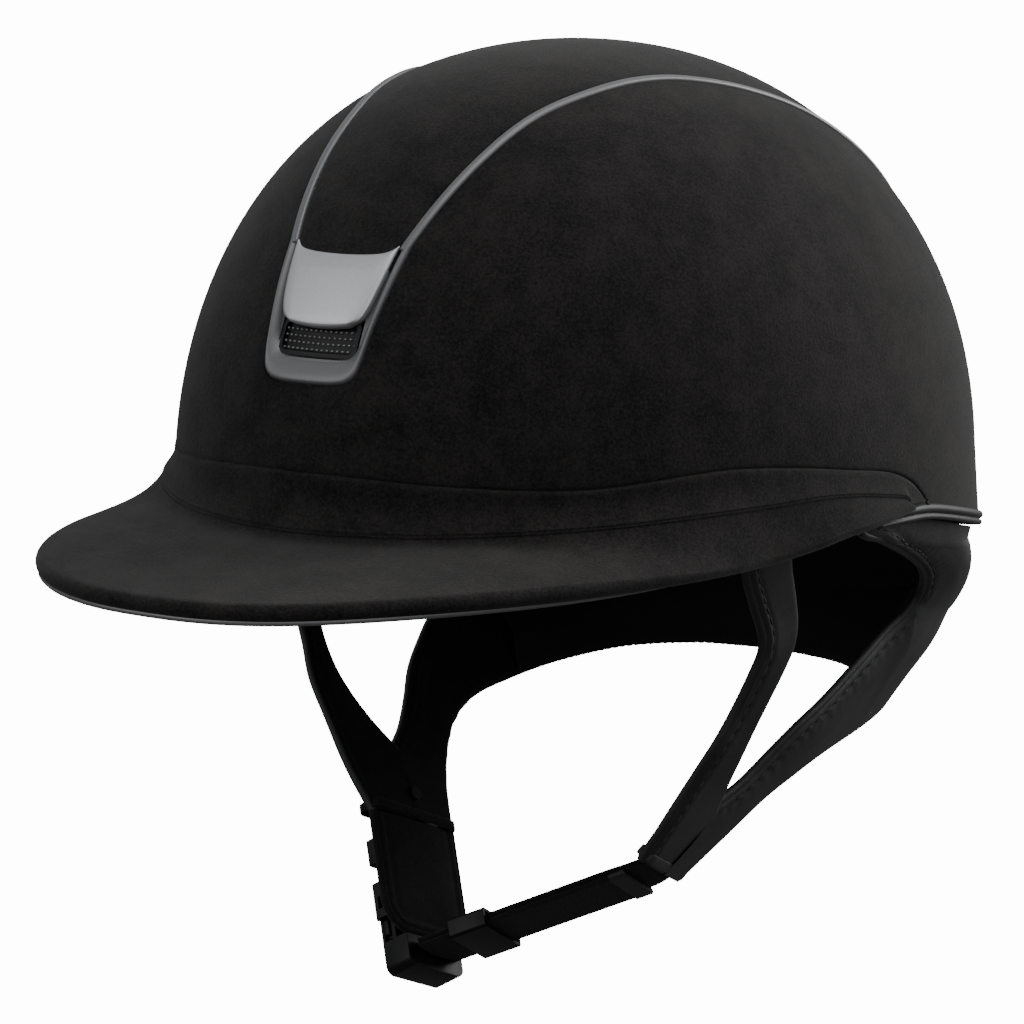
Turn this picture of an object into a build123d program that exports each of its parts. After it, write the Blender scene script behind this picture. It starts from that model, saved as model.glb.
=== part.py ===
from build123d import *
from math import cos, pi, radians, sin, tan
import os

os.makedirs("parts", exist_ok=True)

# Equestrian riding helmet, in millimetres. +X is the wearer's left, -Y the front, +Z up.
# The origin is the middle of the head opening, level with the brow.

# ---- dome -------------------------------------------------------------------------------------
HALF_WIDTH = 110.0      # outer half width, half way along
FRONT_REACH = 133.6     # outer skin, origin to brow
REAR_REACH = 142.5      # outer skin, origin to nape
CROWN_RISE = 132.4      # equator to crown
EQUATOR_Z = 15.0        # below this height the wall is upright
EGG = 0.131             # the rear is wider than the front by this share
PLAN_POWER = 2.113      # roundness of the plan outline
SIDE_POWER = 2.126      # roundness of the side outline
WALL_FLARE = 0.02       # outward lean of the wall below the equator, per 100 mm
RAY_FOOT_Z = -110.0     # skin points are found along rays that rise from here
RAY_SPREAD = 66.0       # widest ray, degrees from upright
RAY_STEPS = 13          # rays each side of the middle one
DOME_BASE_Z = -45.0     # flat underside of the raw dome

# ---- layers, as depth below the outer skin -----------------------------------------------------
COVER_DEPTH = 1.0
SHELL_TOP = 1.2
SHELL_DEPTH = 4.2
FOAM_TOP = 4.8
FOAM_DEPTH = 25.0
CARRIER_TOP = 26.2
CARRIER_DEPTH = 27.2
PAD_TOP = 27.4
PAD_DEPTH = 33.5
PROUD = 0.9             # how far trims stand above the skin
GAP = 0.3               # clearance between neighbouring skins

# ---- rim: lower edge of the shell in side view -------------------------------------------------
RIM_BREAK_Y = 24.0
RIM_Z = 8.6
RIM_FRONT_SLOPE = -0.12
RIM_REAR_SLOPE = -0.33
RIM_BEAD = 4.0
SEAM_FRONT_Z = 55.8     # top seam of the hat band, at the far front of the side view
SEAM_END_Y = 26.0       # where that seam meets the rim
REACH = 160.0           # half size of cutting prisms

# ---- crown strip, rails and vents --------------------------------------------------------------
RAIL_WIDTH = 2.6
STRIP_FRONT_Z = 108.0   # below this height the front frame takes over from the rails
STRIP_PLAN = [(14.0, -124), (18.3, -101), (25.5, -72), (35.0, -30), (43.0, 0), (55.0, 35),
              (63.0, 66), (62.5, 98), (50.0, 150)]
FRAME_TOP = (20.5, 108.0)
FRAME_FOOT = (15.6, 73.6)
VENT_TOP = (17.2, 108.0)
VENT_FOOT = (12.8, 79.6)
FRAME_CORNER = 5.0
PLATE_TOP = (16.4, 106.6)
PLATE_FOOT = (12.6, 88.6)
PLATE_DISH = 2.2        # sag of the plate's top edge
DUCT_WIDTH = 24.0
DUCT_HEIGHT = 7.0
DUCT_Z = 84.0
DUCT_WALL = 1.0
REAR_VENT_Z = 34.0
REAR_VENT_WIDTH = 58.0
REAR_VENT_HEIGHT = 12.0
REAR_FRAME_WALL = 4.0

# ---- peak --------------------------------------------------------------------------------------
PEAK_HALF_WIDTH = 103.8
PEAK_TIP_Y = -196.1
PEAK_ROOT_Y = 30.5
PEAK_PLAN_POWER = 2.45
PEAK_FLAT_Z = 30.8      # mid thickness of the peak where it is flat
PEAK_DROP = 20.6        # how far its sides bend down
PEAK_DROP_POWER = 4.63
PEAK_END_Y = -44.0      # the stiff board ends here and the hat band goes on
PEAK_BOARD = 3.0
PEAK_SKIN = 1.2

# ---- harness -----------------------------------------------------------------------------------
LEATHER = 4.5
JUNCTION_THICK = 5.0
NAPE_FRONT_Y = 62.0
NAPE_FOOT_Z = -76.0
NAPE_LAYERS = {"nape_panel": (0.0, 1.8), "nape_foam": (2.0, 6.6), "nape_lining": (6.8, 8.2)}
STRAP_END = Vector(45.0, -27.5, -94.0)
STRAP_DOWN = Vector(-0.478, -0.535, -0.697)
STRAP_ACROSS = Vector(-0.214, 0.839, -0.497)
STRAP_END_WIDTH = 36.0
CUFF_LENGTH = 3.5
CUFF_WALL = 0.8
RIVET_RADIUS = 2.2
RIVET_PLACES = [(-24.5, 17), (76, 8)]   # y, z

# ---- chin strap and buckle: s runs down the right strap, n outward from its mid plane ----------
PAD_LENGTH = 38.0
PAD_THICK = 4.0
WEBBING_WIDTH = 20.0
WEBBING_THICK = 1.5
WEBBING_SEWN = 10.0     # length sewn to the leather
BUCKLE_N = 5.5          # mid plane of the buckle
SOCKET_START = 21.0
SOCKET_END = 33.0
SOCKET_BACK = 3.0       # solid end of the socket, where the webbing is anchored
SOCKET_WIDTH = 27.0
SOCKET_THICK = 6.2
SOCKET_WALL = 1.1
PLUG_END = 51.0
PLUG_BLOCK_START = 40.5
PLUG_WIDTH = 24.0
PLUG_INNER_N = -2.0
GUIDE_WIDTH = 9.0
ARM_WIDTH = 3.2
ARM_THICK = 2.2
ARM_TIP_S = 28.0
ARM_ROOT_S = 40.0
ARM_OFFSET = 9.6        # mid line of a release arm from the middle of the buckle
CHIN_ATTACH_S = 43.5
CHIN_START = 3.0
TAIL_START = 12.0
TIP_LENGTH = 5.0
KEEPER_START = 53.5
KEEPER_LENGTH = 12.5
KEEPER_WIDTH = 23.4
ADJUSTER_START = 6.0
ADJUSTER_LENGTH = 9.0


def save(builder, name):
    """Label a finished piece and write it as its own STEP file."""
    builder.part.label = name
    export_step(builder.part, f"parts/{name}.step")


# ---- dome solids -------------------------------------------------------------------------------
def dome_field(x, y, z, depth):
    """Below zero inside the dome that lies `depth` under the outer skin."""
    half_width = HALF_WIDTH - depth
    reach = (FRONT_REACH if y < 0 else REAR_REACH) - depth
    lean = 1 + WALL_FLARE * max(0.0, EQUATOR_Z - z) / 100
    along = y / reach
    width_here = half_width * (1 + EGG * along)
    plan = (abs(x / (width_here * lean)) ** PLAN_POWER + abs(along / lean) ** PLAN_POWER) ** (1 / PLAN_POWER)
    rise = max(0.0, z - EQUATOR_Z) / (CROWN_RISE - depth)
    return plan ** SIDE_POWER + rise ** SIDE_POWER - 1


def dome_point(dx, dy, depth):
    """Where the ray (dx, dy, 1) from the foot point meets the dome skin."""
    near, far = 0.0, 400.0
    for _ in range(50):
        middle = (near + far) / 2
        if dome_field(dx * middle, dy * middle, RAY_FOOT_Z + middle, depth) < 0:
            near = middle
        else:
            far = middle
    return Vector(dx * near, dy * near, RAY_FOOT_Z + near)


DOMES = {}


def dome_solid(depth):
    """Solid dome whose skin lies `depth` under the outer skin, made once for each depth."""
    if depth not in DOMES:
        spread = [tan(radians(RAY_SPREAD * i / RAY_STEPS)) for i in range(-RAY_STEPS, RAY_STEPS + 1)]
        grid = [[dome_point(dx, dy, depth) for dx in spread] for dy in spread]
        with BuildPart() as dome:
            extrude(to_extrude=Face.make_surface_from_array_of_points(grid, tol=0.02), amount=200, dir=(0, 0, -1))
            split(bisect_by=Plane.XY.offset(DOME_BASE_Z), keep=Keep.TOP)
        DOMES[depth] = dome.part
    return DOMES[depth]


def skin(top, bottom):
    """Dome-shaped layer between two depths, inside the current part."""
    add(dome_solid(top))
    add(dome_solid(bottom), mode=Mode.SUBTRACT)


# ---- cutting prisms ----------------------------------------------------------------------------
def rim_height(y):
    """Height of the shell's lower edge at y."""
    slope = RIM_FRONT_SLOPE if y < RIM_BREAK_Y else RIM_REAR_SLOPE
    return RIM_Z + slope * (y - RIM_BREAK_Y)


def above_rim(raised):
    """Everything higher than the rim line, raised by a given amount."""
    with BuildPart() as prism:
        with BuildSketch(Plane.YZ.offset(-REACH)):
            with BuildLine():
                Polyline((-REACH, rim_height(-REACH) + raised), (RIM_BREAK_Y, RIM_Z + raised),
                         (REACH, rim_height(REACH) + raised), (REACH, REACH + 40), (-REACH, REACH + 40), close=True)
            make_face()
        extrude(amount=2 * REACH)
    return prism.part


def band_zone(lowered):
    """Everything below the hat band's top seam, which curves down to the rim behind the ear."""
    with BuildPart() as prism:
        with BuildSketch(Plane.YZ.offset(-REACH)):
            with BuildLine():
                seam = Line((-REACH, SEAM_FRONT_Z - lowered), (-8, 29.8 - lowered))
                turn = ThreePointArc(seam @ 1, (14 - lowered, 21.5 - lowered), (SEAM_END_Y - lowered, 6))
                Polyline(turn @ 1, (SEAM_END_Y - lowered, -60), (-REACH, -60), seam @ 0)
            make_face()
        extrude(amount=2 * REACH)
    return prism.part


def strip_prism(grow):
    """The crown strip between the rails, widened by `grow` on each side; it stops at the front frame."""
    with BuildPart() as prism:
        with BuildSketch(Plane.XY.offset(-60)):
            with BuildLine():
                left = Spline([(x + grow, y) for x, y in STRIP_PLAN])
                right = Spline([(-x - grow, y) for x, y in STRIP_PLAN])
                Line(left @ 0, right @ 0)
                Line(left @ 1, right @ 1)
            make_face()
        extrude(amount=260)
        with Locations((0, -REACH, 0)):
            Box(REACH, 200, 2 * STRIP_FRONT_Z, mode=Mode.SUBTRACT)
    return prism.part


def front_prism(top, foot, corner):
    """Trapezoid prism through the brow, given its top and foot corners in front view."""
    with BuildPart() as prism:
        with BuildSketch(Plane.XZ.offset(60)) as outline:
            with BuildLine():
                Polyline((top[0], top[1]), (foot[0], foot[1]), (-foot[0], foot[1]), (-top[0], top[1]), close=True)
            make_face()
            fillet(outline.vertices().group_by(Axis.Z)[0], corner)
        extrude(amount=100)
    return prism.part


def rear_prism(width, height):
    """Rounded slot prism through the back wall."""
    with BuildPart() as prism:
        with BuildSketch(Plane.XZ.offset(-60)):
            with Locations((0, REAR_VENT_Z)):
                RectangleRounded(width, height, height * 0.45)
        extrude(amount=-100)
    return prism.part


def side_box(y_low, y_high, z_low, z_high):
    """Box across the whole helmet between two fore-aft and two vertical limits."""
    with BuildPart() as block:
        with Locations((0, (y_low + y_high) / 2, (z_low + z_high) / 2)):
            Box(2 * REACH, y_high - y_low, z_high - z_low)
    return block.part


def rivet_pins(radius):
    """Crosswise pins through the shell where the front straps and the nape tabs are riveted."""
    with BuildPart() as pins:
        for y, z in RIVET_PLACES:
            with BuildSketch(Plane.YZ.offset(85)):
                with Locations((y, z)):
                    Circle(radius)
            extrude(amount=40)
        mirror(about=Plane.YZ)
    return pins.part


frame_zone = front_prism(FRAME_TOP, FRAME_FOOT, FRAME_CORNER)
vent_zone = front_prism(VENT_TOP, VENT_FOOT, FRAME_CORNER - 2)
rear_frame_zone = rear_prism(REAR_VENT_WIDTH + 2 * REAR_FRAME_WALL, REAR_VENT_HEIGHT + 2 * REAR_FRAME_WALL)
rear_vent_zone = rear_prism(REAR_VENT_WIDTH, REAR_VENT_HEIGHT)


# ---- harness geometry --------------------------------------------------------------------------
def mirrored(vector):
    """The same point or direction on the other side of the helmet."""
    return Vector(-vector.X, vector.Y, vector.Z)


JUNCTION_TOP = Plane(origin=(55.5, -18.2, -79.5), x_dir=(-3, 46.4, -13), z_dir=(-10.5, -9.3, -14.5))
JUNCTION_WIDTH = 47.0
BRANCH_WIDTH = 22.0


def edge_plane(first, second, toward):
    """Section plane through two edge points of a strap, facing along the strap."""
    first, second = Vector(*first), Vector(*second)
    return Plane(origin=(first + second) * 0.5, x_dir=second - first, z_dir=toward), (second - first).length


FRONT_STATIONS = [edge_plane((98.2, -32, 24), (100.4, -17, 24), (-2, 0, -20)),
                  edge_plane((94.0, -31, 5), (96.6, -17, 5), (-10, 0, -24)),
                  edge_plane((82.7, -29.3, -25), (85.8, -17.6, -25), (-9, -3, -18)),
                  edge_plane((75.3, -36.2, -42.6), (77.3, -18.3, -42.6), (-9, -3, -16)),
                  edge_plane((66.1, -38.9, -57.7), (68.9, -19.3, -57.7), (-8, -2, -15)),
                  (JUNCTION_TOP.offset(-GAP).shift_origin(JUNCTION_TOP.offset(-GAP).from_local_coords((-12.5, 0, 0))),
                   BRANCH_WIDTH)]
REAR_STATIONS = [edge_plane((85.0, 61.2, -37), (63.5, 61.2, -75), (0, -1, 0)),
                 edge_plane((74.1, 37.9, -50.2), (64.4, 35.5, -75.1), (-5, -20, -8)),
                 edge_plane((69.3, 23.8, -58), (61.5, 21.5, -78.3), (-6, -20, -10)),
                 edge_plane((64.5, 9.5, -65.3), (57.0, 11.5, -83), (-6, -18, -11)),
                 (JUNCTION_TOP.offset(-GAP).shift_origin(JUNCTION_TOP.offset(-GAP).from_local_coords((12.5, 0, 0))),
                  BRANCH_WIDTH)]
JUNCTION_STATIONS = [(JUNCTION_TOP, JUNCTION_WIDTH),
                     (Plane(origin=STRAP_END, x_dir=STRAP_ACROSS, z_dir=STRAP_DOWN), STRAP_END_WIDTH)]


def strap_loft(stations, thick, grow=0.0):
    """Flat strap lofted through its section planes, on the wearer's left."""
    with BuildPart() as strap:
        for plane, width in stations:
            with BuildSketch(plane):
                RectangleRounded(width + grow, thick + grow, thick * 0.3)
        loft(ruled=True)
    return strap.part


def make_sided_pair(name, solid):
    """Write a left piece and its mirror image on the right."""
    with BuildPart() as left:
        add(solid)
    save(left, f"{name}_left")
    with BuildPart() as right:
        add(solid.mirror(Plane.YZ))
    save(right, f"{name}_right")


# ---- shell and its covers ----------------------------------------------------------------------
with BuildPart() as outer_shell:
    skin(SHELL_TOP, SHELL_DEPTH)
    add(above_rim(1.5), mode=Mode.INTERSECT)
    with Locations((0, -110, DUCT_Z)):
        Box(DUCT_WIDTH + 3, 80, DUCT_HEIGHT + 3, mode=Mode.SUBTRACT)
    add(rear_vent_zone, mode=Mode.SUBTRACT)
    add(rivet_pins(RIVET_RADIUS), mode=Mode.SUBTRACT)
save(outer_shell, "outer_shell")

with BuildPart() as shell_cover:
    skin(0.0, COVER_DEPTH)
    add(above_rim(RIM_BEAD + GAP), mode=Mode.INTERSECT)
    add(band_zone(-GAP), mode=Mode.SUBTRACT)
    add(strip_prism(RAIL_WIDTH + GAP), mode=Mode.SUBTRACT)
    add(frame_zone, mode=Mode.SUBTRACT)
save(shell_cover, "shell_cover")

with BuildPart() as crown_cover:
    skin(0.0, COVER_DEPTH)
    add(above_rim(RIM_BEAD + GAP), mode=Mode.INTERSECT)
    add(strip_prism(0.0), mode=Mode.INTERSECT)
    add(rear_frame_zone, mode=Mode.SUBTRACT)
save(crown_cover, "crown_cover")

with BuildPart() as hat_band:
    skin(-PROUD, COVER_DEPTH)
    add(above_rim(0.0), mode=Mode.INTERSECT)
    add(band_zone(0.0), mode=Mode.INTERSECT)
save(hat_band, "hat_band")

with BuildPart() as rim_trim:
    skin(-PROUD, COVER_DEPTH)
    add(above_rim(0.0), mode=Mode.INTERSECT)
    add(above_rim(RIM_BEAD), mode=Mode.SUBTRACT)
    add(band_zone(-GAP), mode=Mode.SUBTRACT)
save(rim_trim, "rim_trim")

with BuildPart() as rails:
    skin(-PROUD, COVER_DEPTH)
    add(above_rim(RIM_BEAD + GAP), mode=Mode.INTERSECT)
    add(strip_prism(RAIL_WIDTH), mode=Mode.INTERSECT)
    add(strip_prism(GAP), mode=Mode.SUBTRACT)
for side, rail in zip(("right", "left"), rails.part.solids().sort_by(Axis.X)):
    with BuildPart() as crown_trim:
        add(rail)
    save(crown_trim, f"crown_trim_{side}")


# ---- front vent --------------------------------------------------------------------------------
with BuildPart() as front_frame:
    skin(-PROUD, COVER_DEPTH)
    add(front_prism((FRAME_TOP[0] - GAP, STRIP_FRONT_Z - GAP), (FRAME_FOOT[0] - GAP, FRAME_FOOT[1] + GAP),
                    FRAME_CORNER), mode=Mode.INTERSECT)
    add(vent_zone, mode=Mode.SUBTRACT)
save(front_frame, "front_frame")

with BuildPart() as vent_housing:
    skin(0.3, COVER_DEPTH)
    add(front_prism((VENT_TOP[0] - GAP, VENT_TOP[1] - 2 * GAP), (VENT_FOOT[0] - GAP, VENT_FOOT[1] + GAP),
                    FRAME_CORNER - 2), mode=Mode.INTERSECT)
    with Locations((0, -110, DUCT_Z)):
        Box(DUCT_WIDTH - 1, 60, DUCT_HEIGHT, mode=Mode.SUBTRACT)
save(vent_housing, "vent_housing")

with BuildPart() as front_vent_mesh:
    skin(0.2, COVER_DEPTH)
    with Locations((0, -110, DUCT_Z)):
        Box(DUCT_WIDTH - 1 - 2 * 0.1, 60, DUCT_HEIGHT - 2 * 0.1, mode=Mode.INTERSECT)
    with BuildSketch(Plane.XZ.offset(80)):
        with Locations((0, DUCT_Z)):
            with GridLocations(2.4, 2.0, 9, 3):
                Circle(0.6)
    extrude(amount=60, mode=Mode.SUBTRACT)
save(front_vent_mesh, "front_vent_mesh")

with BuildPart() as badge_plate:
    skin(-PROUD, 0.1)
    with BuildSketch(Plane.XZ.offset(60)) as plate_outline:
        with BuildLine():
            dish = ThreePointArc((-PLATE_TOP[0], PLATE_TOP[1]), (0, PLATE_TOP[1] - PLATE_DISH),
                                 (PLATE_TOP[0], PLATE_TOP[1]))
            Polyline(dish @ 1, (PLATE_FOOT[0], PLATE_FOOT[1]), (-PLATE_FOOT[0], PLATE_FOOT[1]), dish @ 0)
        make_face()
        fillet(plate_outline.vertices().group_by(Axis.Z)[0], FRAME_CORNER)
    extrude(amount=100, mode=Mode.INTERSECT)
save(badge_plate, "badge_plate")

with BuildPart() as air_duct:
    with BuildSketch(Plane.XZ.offset(90)):
        with Locations((0, DUCT_Z)):
            RectangleRounded(DUCT_WIDTH + 2 * DUCT_WALL, DUCT_HEIGHT + 2 * DUCT_WALL, 2)
            RectangleRounded(DUCT_WIDTH, DUCT_HEIGHT, 1.5, mode=Mode.SUBTRACT)
    extrude(amount=50)
    add(dome_solid(SHELL_TOP), mode=Mode.INTERSECT)
    add(dome_solid(FOAM_DEPTH), mode=Mode.SUBTRACT)
save(air_duct, "air_duct")


# ---- rear vent ---------------------------------------------------------------------------------
with BuildPart() as rear_vent_frame:
    skin(-PROUD, COVER_DEPTH)
    add(rear_prism(REAR_VENT_WIDTH + 2 * (REAR_FRAME_WALL - GAP), REAR_VENT_HEIGHT + 2 * (REAR_FRAME_WALL - GAP)),
        mode=Mode.INTERSECT)
    add(rear_vent_zone, mode=Mode.SUBTRACT)
save(rear_vent_frame, "rear_vent_frame")

with BuildPart() as rear_vent_mesh:
    skin(0.2, COVER_DEPTH)
    add(rear_prism(REAR_VENT_WIDTH - 0.2, REAR_VENT_HEIGHT - 0.2), mode=Mode.INTERSECT)
    with BuildSketch(Plane.XZ.offset(-80)):
        with Locations((0, REAR_VENT_Z)):
            with GridLocations(4.4, 8, 12, 1):
                SlotOverall(8, 2.6, rotation=90)
    extrude(amount=-80, mode=Mode.SUBTRACT)
save(rear_vent_mesh, "rear_vent_mesh")


# ---- foam liner --------------------------------------------------------------------------------
front_channel = strap_loft(FRONT_STATIONS[:3], LEATHER, grow=3.0)
anchor_tab_zone = side_box(68, 84, -24, 18)

with BuildPart() as anchor_tabs:
    skin(SHELL_DEPTH + 0.2, SHELL_DEPTH + 1.6)
    add(anchor_tab_zone, mode=Mode.INTERSECT)
    add(above_rim(0.0), mode=Mode.INTERSECT)
save(anchor_tabs, "nape_anchor_tabs")

with BuildPart() as tab_recess:
    skin(SHELL_DEPTH, SHELL_DEPTH + 2.0)
    add(side_box(67, 85, -30, 19), mode=Mode.INTERSECT)

with BuildPart() as eps_liner:
    skin(FOAM_TOP, FOAM_DEPTH)
    add(front_channel, mode=Mode.SUBTRACT)
    add(front_channel.mirror(Plane.YZ), mode=Mode.SUBTRACT)
    add(tab_recess.part, mode=Mode.SUBTRACT)
    with Locations((0, -110, DUCT_Z)):
        Box(DUCT_WIDTH + 2 * DUCT_WALL + 0.6, 80, DUCT_HEIGHT + 2 * DUCT_WALL + 0.6, mode=Mode.SUBTRACT)
    add(rear_prism(REAR_VENT_WIDTH - 8, REAR_VENT_HEIGHT - 3), mode=Mode.SUBTRACT)
    with Locations((0, 0, 0), (-34, 0, 0), (34, 0, 0)):
        with Locations((0, 3, 111)):
            Box(9, 96, 30, mode=Mode.SUBTRACT)
    add(above_rim(2.0), mode=Mode.INTERSECT)
save(eps_liner, "eps_liner")

with BuildPart() as hook_dots:
    skin(FOAM_DEPTH + 0.05, FOAM_DEPTH + 0.85)
    with BuildSketch(Plane.YZ.offset(-REACH)):
        with Locations((-40, 40), (0, 40), (45, 40)):
            Circle(6)
    extrude(amount=2 * REACH, mode=Mode.INTERSECT)
save(hook_dots, "hook_dots")

with BuildPart() as anchor_rivets:
    add(rivet_pins(RIVET_RADIUS - 0.05))
    add(dome_solid(SHELL_TOP + 0.1), mode=Mode.INTERSECT)
    add(dome_solid(SHELL_DEPTH + 0.1), mode=Mode.SUBTRACT)
save(anchor_rivets, "anchor_rivets")


# ---- comfort liner -----------------------------------------------------------------------------
with BuildPart() as liner_carrier:
    skin(CARRIER_TOP, CARRIER_DEPTH)
    add(above_rim(6.0), mode=Mode.INTERSECT)
    add(above_rim(46.0), mode=Mode.SUBTRACT)
    with BuildSketch(Plane.XY.offset(45)):
        RectangleRounded(300, 16, 4)
        RectangleRounded(16, 300, 4)
    extrude(amount=100)
    add(dome_solid(CARRIER_TOP), mode=Mode.INTERSECT)
    add(dome_solid(CARRIER_DEPTH), mode=Mode.SUBTRACT)
save(liner_carrier, "liner_carrier")


def make_pad(name, y_low, y_high, raised, height, x_low=None):
    """Padding between two fore-aft limits, standing a given height above the rim."""
    with BuildPart() as pad:
        skin(PAD_TOP, PAD_DEPTH)
        add(above_rim(raised), mode=Mode.INTERSECT)
        add(above_rim(raised + height), mode=Mode.SUBTRACT)
        add(side_box(y_low, y_high, -100, 200), mode=Mode.INTERSECT)
        if x_low is not None:
            with Locations((x_low + REACH, 0, 0)):
                Box(2 * REACH, 400, 400, mode=Mode.INTERSECT)
    return pad


brow_pad = make_pad("brow_pad", -140, -58, 4, 36)
save(brow_pad, "brow_pad")
rear_pad = make_pad("rear_pad", 58, 140, 12, 38)
save(rear_pad, "rear_pad")
side_pad = make_pad("side_pad", -54, 54, 6, 36, x_low=20)
make_sided_pair("side_pad", side_pad.part)

with BuildPart() as crown_pad:
    skin(PAD_TOP, PAD_DEPTH)
    with BuildSketch(Plane.XY):
        with Locations((0, 8)):
            Ellipse(36, 52)
            Ellipse(16, 30, mode=Mode.SUBTRACT)
            Rectangle(72, 12)
    extrude(amount=200, mode=Mode.INTERSECT)
save(crown_pad, "crown_pad")


# ---- peak --------------------------------------------------------------------------------------
def peak_mid_height(x):
    """Height of the peak's mid surface: flat in the middle, bent down at the sides."""
    return PEAK_FLAT_Z - PEAK_DROP * abs(x / PEAK_HALF_WIDTH) ** PEAK_DROP_POWER


def peak_edge(angle, inset):
    """Point of the peak's outline in plan; the angle runs from the tip to the root."""
    power = 2 / PEAK_PLAN_POWER
    x = (PEAK_HALF_WIDTH - inset) * sin(angle) ** power
    y = PEAK_ROOT_Y - (PEAK_ROOT_Y - PEAK_TIP_Y - inset) * cos(angle) ** power
    return x, y


def peak_plan(inset):
    """Plan outline of the peak, drawn in by `inset`."""
    angles = [pi / 2 * (0.5 - 0.5 * cos(pi * i / 12)) for i in range(13)]
    left = [peak_edge(angle, inset) for angle in angles]
    right = [(-x, y) for x, y in left[:0:-1]]
    with BuildSketch() as plan:
        with BuildLine():
            edge = Spline(right + left)
            Line(edge @ 0, edge @ 1)
        make_face()
        with Locations((0, PEAK_END_Y + 100)):
            Rectangle(400, 200, mode=Mode.SUBTRACT)
    return plan.sketch


def peak_layer(low, high, inset):
    """One layer of the peak between two heights from its mid surface, clear of the dome."""
    stations = [PEAK_HALF_WIDTH * 1.03 * i / 8 for i in range(-8, 9)]
    with BuildPart() as layer:
        with BuildSketch(Plane.XZ):
            with BuildLine():
                top = Spline([(x, peak_mid_height(x) + high) for x in stations])
                bottom = Spline([(x, peak_mid_height(x) + low) for x in stations])
                Line(top @ 0, bottom @ 0)
                Line(top @ 1, bottom @ 1)
            make_face()
        extrude(amount=220)
        extrude(to_extrude=peak_plan(inset), amount=100, mode=Mode.INTERSECT)
        add(dome_solid(-PROUD - GAP), mode=Mode.SUBTRACT)
    return layer


half_board = PEAK_BOARD / 2
peak_board = peak_layer(-half_board, half_board, 3.2)
save(peak_board, "peak_board")
peak_cover = peak_layer(half_board + 0.1, half_board + 0.1 + PEAK_SKIN, 0.0)
save(peak_cover, "peak_cover")
peak_lining = peak_layer(-half_board - 0.1 - PEAK_SKIN, -half_board - 0.1, 3.2)
save(peak_lining, "peak_lining")

with BuildPart() as peak_piping:
    add(peak_layer(-half_board - 0.1 - PEAK_SKIN, half_board, 0.0).part)
    add(peak_layer(-half_board - 0.2 - PEAK_SKIN, half_board + 0.1, 3.0).part, mode=Mode.SUBTRACT)
save(peak_piping, "peak_piping")


# ---- nape --------------------------------------------------------------------------------------
NAPE_TOP_PLANE = Plane(origin=(0, RIM_BREAK_Y, RIM_Z - GAP), x_dir=(1, 0, 0), z_dir=(0, 0.3134, 0.9496))
NAPE_TOP = [(108.6, 0), (107.6, 20), (102.0, 46), (84.0, 83), (52.0, 109), (0, 121)]
NAPE_FOOT = [(66.0, RIM_BREAK_Y), (66.0, 50), (62.0, 80), (52.0, 108), (28.0, 121), (0, 124)]


def nape_plug(inset):
    """Solid bounded by the nape's surface, drawn in by `inset`, from the rim to the lower edge."""
    with BuildPart() as plug:
        for plane, outline in ((NAPE_TOP_PLANE, NAPE_TOP), (Plane.XY.offset(NAPE_FOOT_Z), NAPE_FOOT)):
            left = [(max(0, x - inset), y - (inset if y > outline[2][1] else 0)) for x, y in outline]
            right = [(-x, y) for x, y in left[-2::-1]]
            with BuildSketch(plane):
                with BuildLine():
                    curve = Spline(left + right)
                    Line(curve @ 0, curve @ 1)
                make_face()
        loft()
    return plug.part


with BuildPart() as ear_cut:
    with BuildSketch(Plane.YZ.offset(-REACH)):
        with BuildLine():
            Polyline((RIM_BREAK_Y - 10, 40), (RIM_BREAK_Y - 10, -1), (RIM_BREAK_Y + 2, -1), (50, -9), (63, -18),
                     (68, -28), (NAPE_FRONT_Y, -37), (NAPE_FRONT_Y, -100), (REACH, -100), (REACH, 40), close=True)
        make_face()
    extrude(amount=2 * REACH)

for name, (outer, inner) in NAPE_LAYERS.items():
    with BuildPart() as layer:
        add(nape_plug(outer))
        add(nape_plug(inner), mode=Mode.SUBTRACT)
        add(ear_cut.part, mode=Mode.INTERSECT)
    save(layer, name)


# ---- leather straps ----------------------------------------------------------------------------
make_sided_pair("front_strap", strap_loft(FRONT_STATIONS, LEATHER))
make_sided_pair("rear_strap", strap_loft(REAR_STATIONS, LEATHER))
make_sided_pair("strap_junction", strap_loft(JUNCTION_STATIONS, JUNCTION_THICK))



# ---- buckle side: planes -----------------------------------------------------------------------
NEAR_OUT = STRAP_DOWN.cross(STRAP_ACROSS)
FAR_END = mirrored(STRAP_END)
FAR_DOWN = mirrored(STRAP_DOWN)
FAR_OUT = mirrored(NEAR_OUT)
NEAR_FACE = Plane(origin=STRAP_END, x_dir=STRAP_DOWN, z_dir=NEAR_OUT)
BUCKLE_FACE = Plane(origin=FAR_END, x_dir=FAR_DOWN, z_dir=FAR_OUT)
BUCKLE_SECTION = Plane(origin=FAR_END, x_dir=FAR_DOWN, z_dir=FAR_DOWN.cross(FAR_OUT))
CHIN_ATTACH = BUCKLE_FACE.from_local_coords((CHIN_ATTACH_S, 0, PLUG_INNER_N))
CHIN_LENGTH = (CHIN_ATTACH - STRAP_END).length
CHIN_DIR = (CHIN_ATTACH - STRAP_END).normalized()
CHIN_OUT = (FAR_DOWN - CHIN_DIR * FAR_DOWN.dot(CHIN_DIR)).normalized()
CHIN_FACE = Plane(origin=STRAP_END, x_dir=CHIN_DIR, z_dir=CHIN_OUT)


def block(face, length_range, width, thick_range, across=0.0, mode=Mode.ADD):
    """Block on a strap's face plane: a stretch along the strap, a width across it and a depth."""
    start, end = length_range
    low, high = thick_range
    with BuildSketch(face.offset(low)) as outline:
        with Locations(((start + end) / 2, across)):
            Rectangle(end - start, width)
    extrude(to_extrude=outline.sketch, amount=high - low, mode=mode)


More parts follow.
